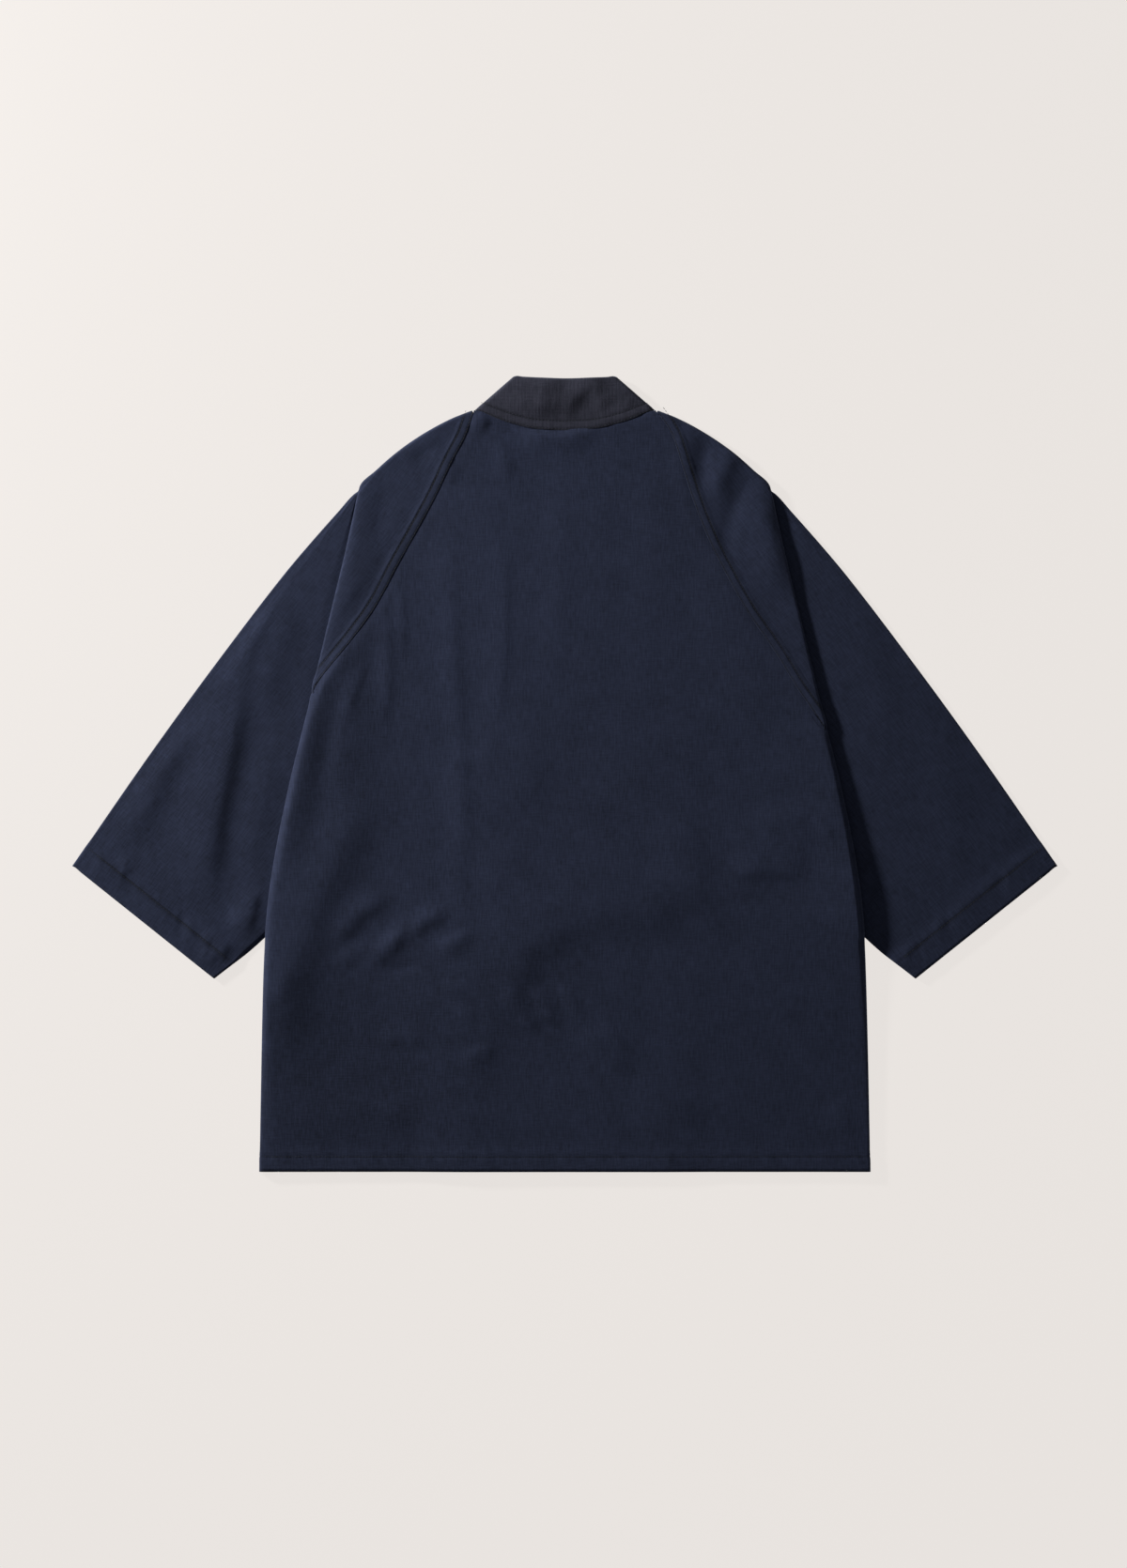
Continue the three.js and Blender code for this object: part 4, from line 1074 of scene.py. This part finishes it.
def pucker(along, seed):
    """An uneven beat along a seam, about 0 to 1."""
    short = cloth_noise(along, 0 * along, 5.5, seed)
    long = cloth_noise(along, 0 * along, 13, seed + 1)
    return 0.5 + 0.3 * short + 0.3 * long


def armhole_path(side):
    path = np.array([armhole_point(side, share, 0) for share in np.linspace(0, 1, 40)])
    return path * (side.sign, 1)


def beside_armhole(sheet, side):
    """Each point's distance to the armhole seam, and how far along the seam it is."""
    return nearest(armhole_path(side), sheet[..., 0], sheet[..., 1])[:2]


def stitch_mark(distance, *rows, width=0.9):
    """How strongly a place lies on one of the stitched rows beside a seam."""
    return sum(np.exp(-(((distance - row) / width) ** 2)) for row in rows)


def fell_marks(sheet, side):
    """The painted shade of the two rows of stitches, stronger where the seam swells."""
    distance, along = beside_armhole(sheet, side)
    sewn = 0.8 * stitch_mark(distance, 1.3) + 1.2 * stitch_mark(distance, FELL_ROWS[1], width=1.2)
    return sewn * smooth_step(0.4, 1, sheet[..., 3]) * (0.6 + 0.6 * pucker(along, 25))


def fell_relief(sheet, side):
    """The raised strip of the felled seam, on the sleeve's side of the armhole."""
    distance, along = beside_armhole(sheet, side)
    strip = smooth_step(0, 0.8, distance) * (1 - smooth_step(FELL - 0.3, FELL + 4.0, distance))
    sewn = stitch_mark(distance, FELL_ROWS[0], width=0.8) + stitch_mark(distance, FELL_ROWS[1], width=1.0)
    beat = pucker(along, 21)
    height = 0.35 + 0.5 * beat - 0.35 * sewn * (0.6 + 0.6 * beat)
    return smooth_step(0.4, 1, sheet[..., 3]) * strip * height


def beside_seam(sheet):
    """The back dips towards the armhole seams, where the stitching pulls it down."""
    dip = 0
    for side in SIDES:
        distance, along = beside_armhole(sheet, side)
        dip -= 0.12 * np.exp(-distance / 2.2) * (0.7 + 0.6 * pucker(along, 33))
        dip += 0.3 * stitch_mark(distance, 7, width=5) * pucker(along, 35)
    return dip * smooth_step(0.5, 1, sheet[..., 3])


def hem_relief(depth, width, along, seed):
    """Puckers that fade from a hem's stitching to its fold, and a little into the cloth above."""
    ripple = np.exp(-np.abs(depth - width + 3) / 8) * smooth_step(-2, 2, width + 8 - depth)
    sewn = stitch_mark(depth, width - STITCH_INSET, width=1.0)
    return ripple * 2.2 * (pucker(along + 0.5 * depth, seed) - 0.5) - 0.35 * sewn


# %% [markdown]
# ## Making the pieces
# Now each sheet is refined, creased and given its wall. The outside faces up where the piece lies on
# top, and down where it lies on the floor, because a jacket that lies face down is right side out.

# %% Back
def hem_wall(depth, width):
    """Half the wall: it grows to the hem's thickness where the turned edge begins."""
    return (CLOTH + (HEM_WALL - CLOTH) * (1 - smooth_step(width - 1, width + 9, depth))) / 2


def make_back():
    sheet = creased(fine_sheet(back_sections(), BACK_SPACING))
    depth = sheet[..., 1] + HALF_LENGTH
    sheet[..., 2] += beside_seam(sheet)
    relief = sheet[..., 3] * hem_relief(depth, BODY_HEM, sheet[..., 0], 41)
    # Painted shade along the hem's row of stitches.
    marks = 0.4 * stitch_mark(depth, BODY_HEM - STITCH_INSET) * sheet[..., 3]
    make_wall("back", sheet, hem_wall(depth, BODY_HEM), relief, -1, grain(sheet), navy, marks)


make_back()

# %% Sleeves
CUFF_START, CUFF_END = np.array(OVERARM[-1], float), np.array(FRONT_ARMHOLE[-1], float)
CUFF_WAY = unit(CUFF_END - CUFF_START)
UP_SLEEVE = np.array([CUFF_WAY[1], -CUFF_WAY[0]])
SLEEVE_GRAIN = math.radians(37)  # the warp runs down the sleeve


def make_sleeve(side):
    sheet = fine_sheet(sleeve_sections(side))
    sheet[..., 0] *= side.sign
    sheet = creased(sheet, side.swell)
    from_cuff = sheet[..., :2] * (side.sign, 1) - CUFF_START
    depth, along = from_cuff @ UP_SLEEVE, from_cuff @ CUFF_WAY
    relief = fell_relief(sheet, side) + sheet[..., 4] * hem_relief(depth, CUFF_HEM, along, 51)
    # Painted shade along the cuff's row of stitches, later added to that of the felled seam.
    sewn = sheet[..., 4] * stitch_mark(depth, CUFF_HEM - STITCH_INSET, width=1.4)
    uv = grain(sheet, side.sign * SLEEVE_GRAIN, shift=700)
    half, marks = hem_wall(depth, CUFF_HEM), fell_marks(sheet, side) + sewn
    make_wall(f"sleeve_{side.name}", sheet, half, relief, side.sign, uv, navy, marks)


for side in SIDES:
    make_sleeve(side)

# %% Fronts and band
NECK_ROWS = (1.6, 9.6)  # the two rows of stitches along the foot of the band


def make_front(side):
    sheet = fine_sheet(front_sections(side))
    sheet[..., 0] *= side.sign
    half = hem_wall(sheet[..., 1] + HALF_LENGTH, BODY_HEM)
    make_wall(f"front_{side.name}", sheet, half, 0, side.sign, grain(sheet, shift=-900), navy)


def neck_path(reach, points):
    """The neck seam as a path, out to a reach on both sides."""
    return np.array([[out, neck_seam_up(abs(out))] for out in np.linspace(-reach, reach, points)])


def make_collar():
    sections = collar_sections()
    sections[..., 3] = np.maximum(sections[..., 3], 0)
    sheet = fine_sheet(sections, BAND_SPACING)
    x, y, top = sheet[..., 0], sheet[..., 1], sheet[..., 3]
    sheet[..., 2] += top * (crease_height(COLLAR_CREASES, x, y) + 0.3 * limp(x, y))
    distance, along = nearest(neck_path(COLLAR_CORNER[0], 40), x, y)[:2]
    inside = 1 - smooth_step(9, 11.5, distance)
    puckered = 0.3 * inside + 0.5 * inside * (pucker(along, 61) - 0.5)
    relief = top * (puckered - 0.4 * stitch_mark(distance, *NECK_ROWS))
    half = np.full(x.shape, BAND_WALL / 2)
    # Painted shade along the band's two rows of stitches.
    marks = top * stitch_mark(distance, 1.2, 9.6, width=1.0) * (0.6 + 0.6 * pucker(along, 65))
    make_wall("collar_band", sheet, half, relief, -1, grain(sheet, shift=1500), charcoal, marks)


for side in SIDES:
    make_front(side)
make_collar()

# %% [markdown]
# ## Stitches
# Stitches repeat, so Geometry Nodes lay them: a path is resampled to the stitch length, a small
# rounded bead of thread is set on each point and turned along the path, and each is a little uneven.
# The tree's inputs are the sizes, so one tree sews every seam.

# %% The stitching tree
SEWING_INPUTS = [
    ("Geometry", "Geometry", None), ("Pitch", "Float", 0.0034), ("Stitch length", "Float", 0.0026),
    ("Thread", "Float", 0.00055), ("Unevenness", "Float", 0.12), ("Seed", "Int", 7),
    ("Material", "Material", None),
]


def stitching_tree():
    """A node tree that lays beads of thread along a path, with its sizes as inputs."""
    tree = bpy.data.node_groups.new("lay_stitches", "GeometryNodeTree")
    add, given = Value(tree, None).node, {}
    for name, kind, value in SEWING_INPUTS:
        socket = tree.interface.new_socket(name, in_out="INPUT", socket_type="NodeSocket" + kind)
        if value is not None:
            socket.default_value = value
    for name, _, _ in SEWING_INPUTS:
        given[name] = add("NodeGroupInput", out=name)
    tree.interface.new_socket("Geometry", in_out="OUTPUT", socket_type="NodeSocketGeometry")

    curve = add("GeometryNodeMeshToCurve", {}, {"Mesh": given["Geometry"]})
    spaced = add(
        "GeometryNodeResampleCurve", {"mode": "LENGTH"}, {"Curve": curve, "Length": given["Pitch"]}
    )
    bead = add("GeometryNodeMeshUVSphere", {}, {"Segments": 6, "Rings": 4, "Radius": 0.5})
    thick, long = given["Thread"], given["Stitch length"]
    size = add("ShaderNodeCombineXYZ", {}, {"X": thick, "Y": thick, "Z": long})
    along = add("GeometryNodeInputTangent")
    turn_to = add("FunctionNodeAlignRotationToVector", {"axis": "Z"}, {"Vector": along})
    least, most = 1.0 - given["Unevenness"], 1.0 + given["Unevenness"]
    chance = add(
        "FunctionNodeRandomValue", {"data_type": "FLOAT"}, {2: least, 3: most, "Seed": given["Seed"]}, out=1
    )
    uneven = add("ShaderNodeVectorMath", {"operation": "SCALE"}, {0: size, "Scale": chance})
    laid = add(
        "GeometryNodeInstanceOnPoints", {},
        {"Points": spaced, "Instance": bead, "Rotation": turn_to, "Scale": uneven},
    )
    real = add("GeometryNodeRealizeInstances", {}, {"Geometry": laid})
    dressed = add("GeometryNodeSetMaterial", {}, {"Geometry": real, "Material": given["Material"]})
    tree.links.new(dressed.socket, tree.nodes.new("NodeGroupOutput").inputs["Geometry"])
    return tree


stitching = stitching_tree()

# %% Thread
THREAD_TONES = [(0.3, (0.006, 0.0075, 0.013)), (0.7, (0.015, 0.018, 0.028))]


def thread_inputs(start):
    """Plain navy thread, a little lighter here and there."""
    tone = noise(scaled(start.node("ShaderNodeTexCoord", out=3), along=220, across=220))
    colour = tone.node("ShaderNodeValToRGB", {"stops": THREAD_TONES}, {"Fac": tone})
    return {"Base Color": colour, "Roughness": 0.6 + tone * 0.1}


thread = shaded("navy_thread", thread_inputs)


def sew(name, paths, seed):
    """Lays stitches along paths of points in millimetres, and returns them as one plain mesh."""
    points, edges = [], []
    for path in paths:
        first = len(points)
        points += [tuple(point * MM) for point in path]
        edges += [(i, i + 1) for i in range(first, len(points) - 1)]
    mesh = bpy.data.meshes.new(name + "_path")
    mesh.from_pydata(points, edges, [])
    guide = add_object(name + "_path", mesh)
    modifier = guide.modifiers.new("stitches", "NODES")
    modifier.node_group = stitching
    wanted = {"Seed": seed, "Material": thread}
    for item in stitching.interface.items_tree:
        if item.in_out == "INPUT" and item.name in wanted:
            modifier[item.identifier] = wanted[item.name]
    evaluated = guide.evaluated_get(bpy.context.evaluated_depsgraph_get())
    sewn = bpy.data.meshes.new_from_object(evaluated)
    bpy.data.objects.remove(guide)
    sewn.name = name
    sewn.shade_smooth()
    print(name, len(sewn.polygons), "faces")
    return add_object(name, sewn)


# %% [markdown]
# A line of stitches follows the surface it is sewn into. A path on the plan is dropped onto the cloth
# by taking the height of the nearest points of the finished sheet, and the thread lies half in it.

# %% Laying paths on the cloth
STITCH_SPACING = 1.7  # between the points of a path


def dense(path):
    """A path with even, close points."""
    path = np.asarray(path, float)
    lengths = np.concatenate([[0], np.cumsum(np.hypot(*np.diff(path, axis=0).T))])
    at = np.arange(0, lengths[-1], STITCH_SPACING)
    return np.column_stack([np.interp(at, lengths, path[:, 0]), np.interp(at, lengths, path[:, 1])])


def beside(path, distance):
    """A path moved sideways on the plan, with even points."""
    along = unit(np.gradient(path, axis=0))
    return dense(path + distance * np.column_stack([along[:, 1], -along[:, 0]]))


def dropped(path, node, above):
    """A plan path with the heights of the node's cloth, from its nearest points above a height."""
    points = points_on[node].reshape(-1, 3)
    points = points[points[:, 2] > above]
    heights = []
    for x, y in path:
        near = points[(np.abs(points[:, 0] - x) < 7) & (np.abs(points[:, 1] - y) < 7)]
        square = (near[:, 0] - x) ** 2 + (near[:, 1] - y) ** 2
        closest = np.argsort(square)[:4]
        weight = 1 / (square[closest] + 0.05)
        heights.append((near[closest, 2] * weight).sum() / weight.sum())
    return np.column_stack([path, heights])


# %% Rows of stitches
TOP_ONLY = BACK_PLY - 1.5  # leaves out the plies below
NECK_REACH, HEM_REACH = 88, 305  # both rows end just short of their corners
HEM_ABOVE = 2.5
seam_rows = {"armhole_stitches": [], "neck_stitches": [], "hem_stitches": [], "cuff_stitches": []}
for side in SIDES:
    for distance in FELL_ROWS:
        row = beside(armhole_path(side), -side.sign * distance)
        # A row ends where it meets the side fold.
        on_top = (row[:, 1] > PLEAT_TOP) | (np.abs(row[:, 0]) < side_fold_out(row[:, 1]) - 1.5)
        seam_rows["armhole_stitches"].append(dropped(row[on_top][2:-2], f"sleeve_{side.name}", TOP_ONLY))
for distance in NECK_ROWS:
    row = beside(neck_path(NECK_REACH, 60), -distance)
    seam_rows["neck_stitches"].append(dropped(row, "collar_band", TOP_ONLY))
hem_up = -HALF_LENGTH + BODY_HEM - STITCH_INSET
row = dense([(-HEM_REACH, hem_up), (HEM_REACH, hem_up)])
seam_rows["hem_stitches"].append(dropped(row, "back", HEM_ABOVE))
for side in SIDES:
    depth = UP_SLEEVE * (CUFF_HEM - STITCH_INSET)
    row = dense([CUFF_START + depth + CUFF_WAY * 4, CUFF_END + depth - CUFF_WAY * 5]) * (side.sign, 1)
    seam_rows["cuff_stitches"].append(dropped(row, f"sleeve_{side.name}", SLEEVE_PLY))

FIRST_SEED = 11
stitches = [sew(name, rows, seed) for seed, (name, rows) in enumerate(seam_rows.items(), FIRST_SEED)]

# %% [markdown]
# ## Floor, light and camera
# The jacket is seen from straight above on a plain pale ground that glows a little, as on a light
# table, so shadows on it stay faint. One lamp stands low at the upper left: each crease has a bright
# and a dark side, the cloth is darker away from the lamp, and the right side fold throws its shadow
# on the sleeve. A soft light from all round fills the shadows.

# %% The stage
FLOOR_REACH, FLOOR_DEPTH = 6.0, 0.0004
GROUND = {
    "Base Color": (0.11, 0.105, 0.1, 1), "Roughness": 1.0, "Specular IOR Level": 0.0,
    "Emission Color": (0.831, 0.791, 0.761, 1), "Emission Strength": 0.93,
}
ground = bpy.data.meshes.new("floor")
ends = [(-1, -1), (1, -1), (1, 1), (-1, 1)]
ground.from_pydata([(x * FLOOR_REACH, y * FLOOR_REACH, -FLOOR_DEPTH) for x, y in ends], [], [(0, 1, 2, 3)])
ground.materials.append(shaded("pale_floor", lambda start: GROUND))
add_object("floor", ground)

# The lamp shines from this azimuth and elevation towards the middle of the jacket.
AZIMUTH, ELEVATION, AWAY = math.radians(150), math.radians(16.5), 2.6
key = bpy.data.lights.new("key", "AREA")
key.energy, key.shape, key.size = 95, "DISK", 0.24
lamp = add_object("key", key)
level = math.cos(ELEVATION) * AWAY
lamp.location = (level * math.cos(AZIMUTH), level * math.sin(AZIMUTH), math.sin(ELEVATION) * AWAY)
lamp.rotation_euler = (math.pi / 2 - ELEVATION, 0, AZIMUTH + math.pi / 2)

world = bpy.data.worlds.new("studio")
world.use_nodes = True
background = world.node_tree.nodes["Background"]
background.inputs["Color"].default_value = (1.0, 0.99, 0.98, 1)
background.inputs["Strength"].default_value = 0.135
bpy.context.scene.world = world
bpy.context.scene.view_settings.view_transform = "Standard"
print("lamp at", [round(place, 2) for place in lamp.location], "m")

# %% The camera
LENS, SENSOR, FRAME_HEIGHT = 70.0, 36.0, 1.603
LOOK_AT = (-0.0014, -0.0101)
view = bpy.data.cameras.new("overhead")
view.lens, view.sensor_height, view.sensor_fit = LENS, SENSOR, "VERTICAL"
camera = add_object("overhead", view)
camera.location = (*LOOK_AT, FRAME_HEIGHT * LENS / SENSOR)
bpy.context.scene.camera = camera
print("camera", round(camera.location.z, 3), "m up")

# %% [markdown]
# ## Telling the frame
# Each sheet stands for its node of the imported model and rides on the one body. The stitches ride along.

# %% Cloth and stitches in the frame
Cut = namedtuple("Cut", "width length area")
for node, piece in pieces.items():
    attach(piece, "root")
    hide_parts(node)
for piece in stitches:
    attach(piece, "root")
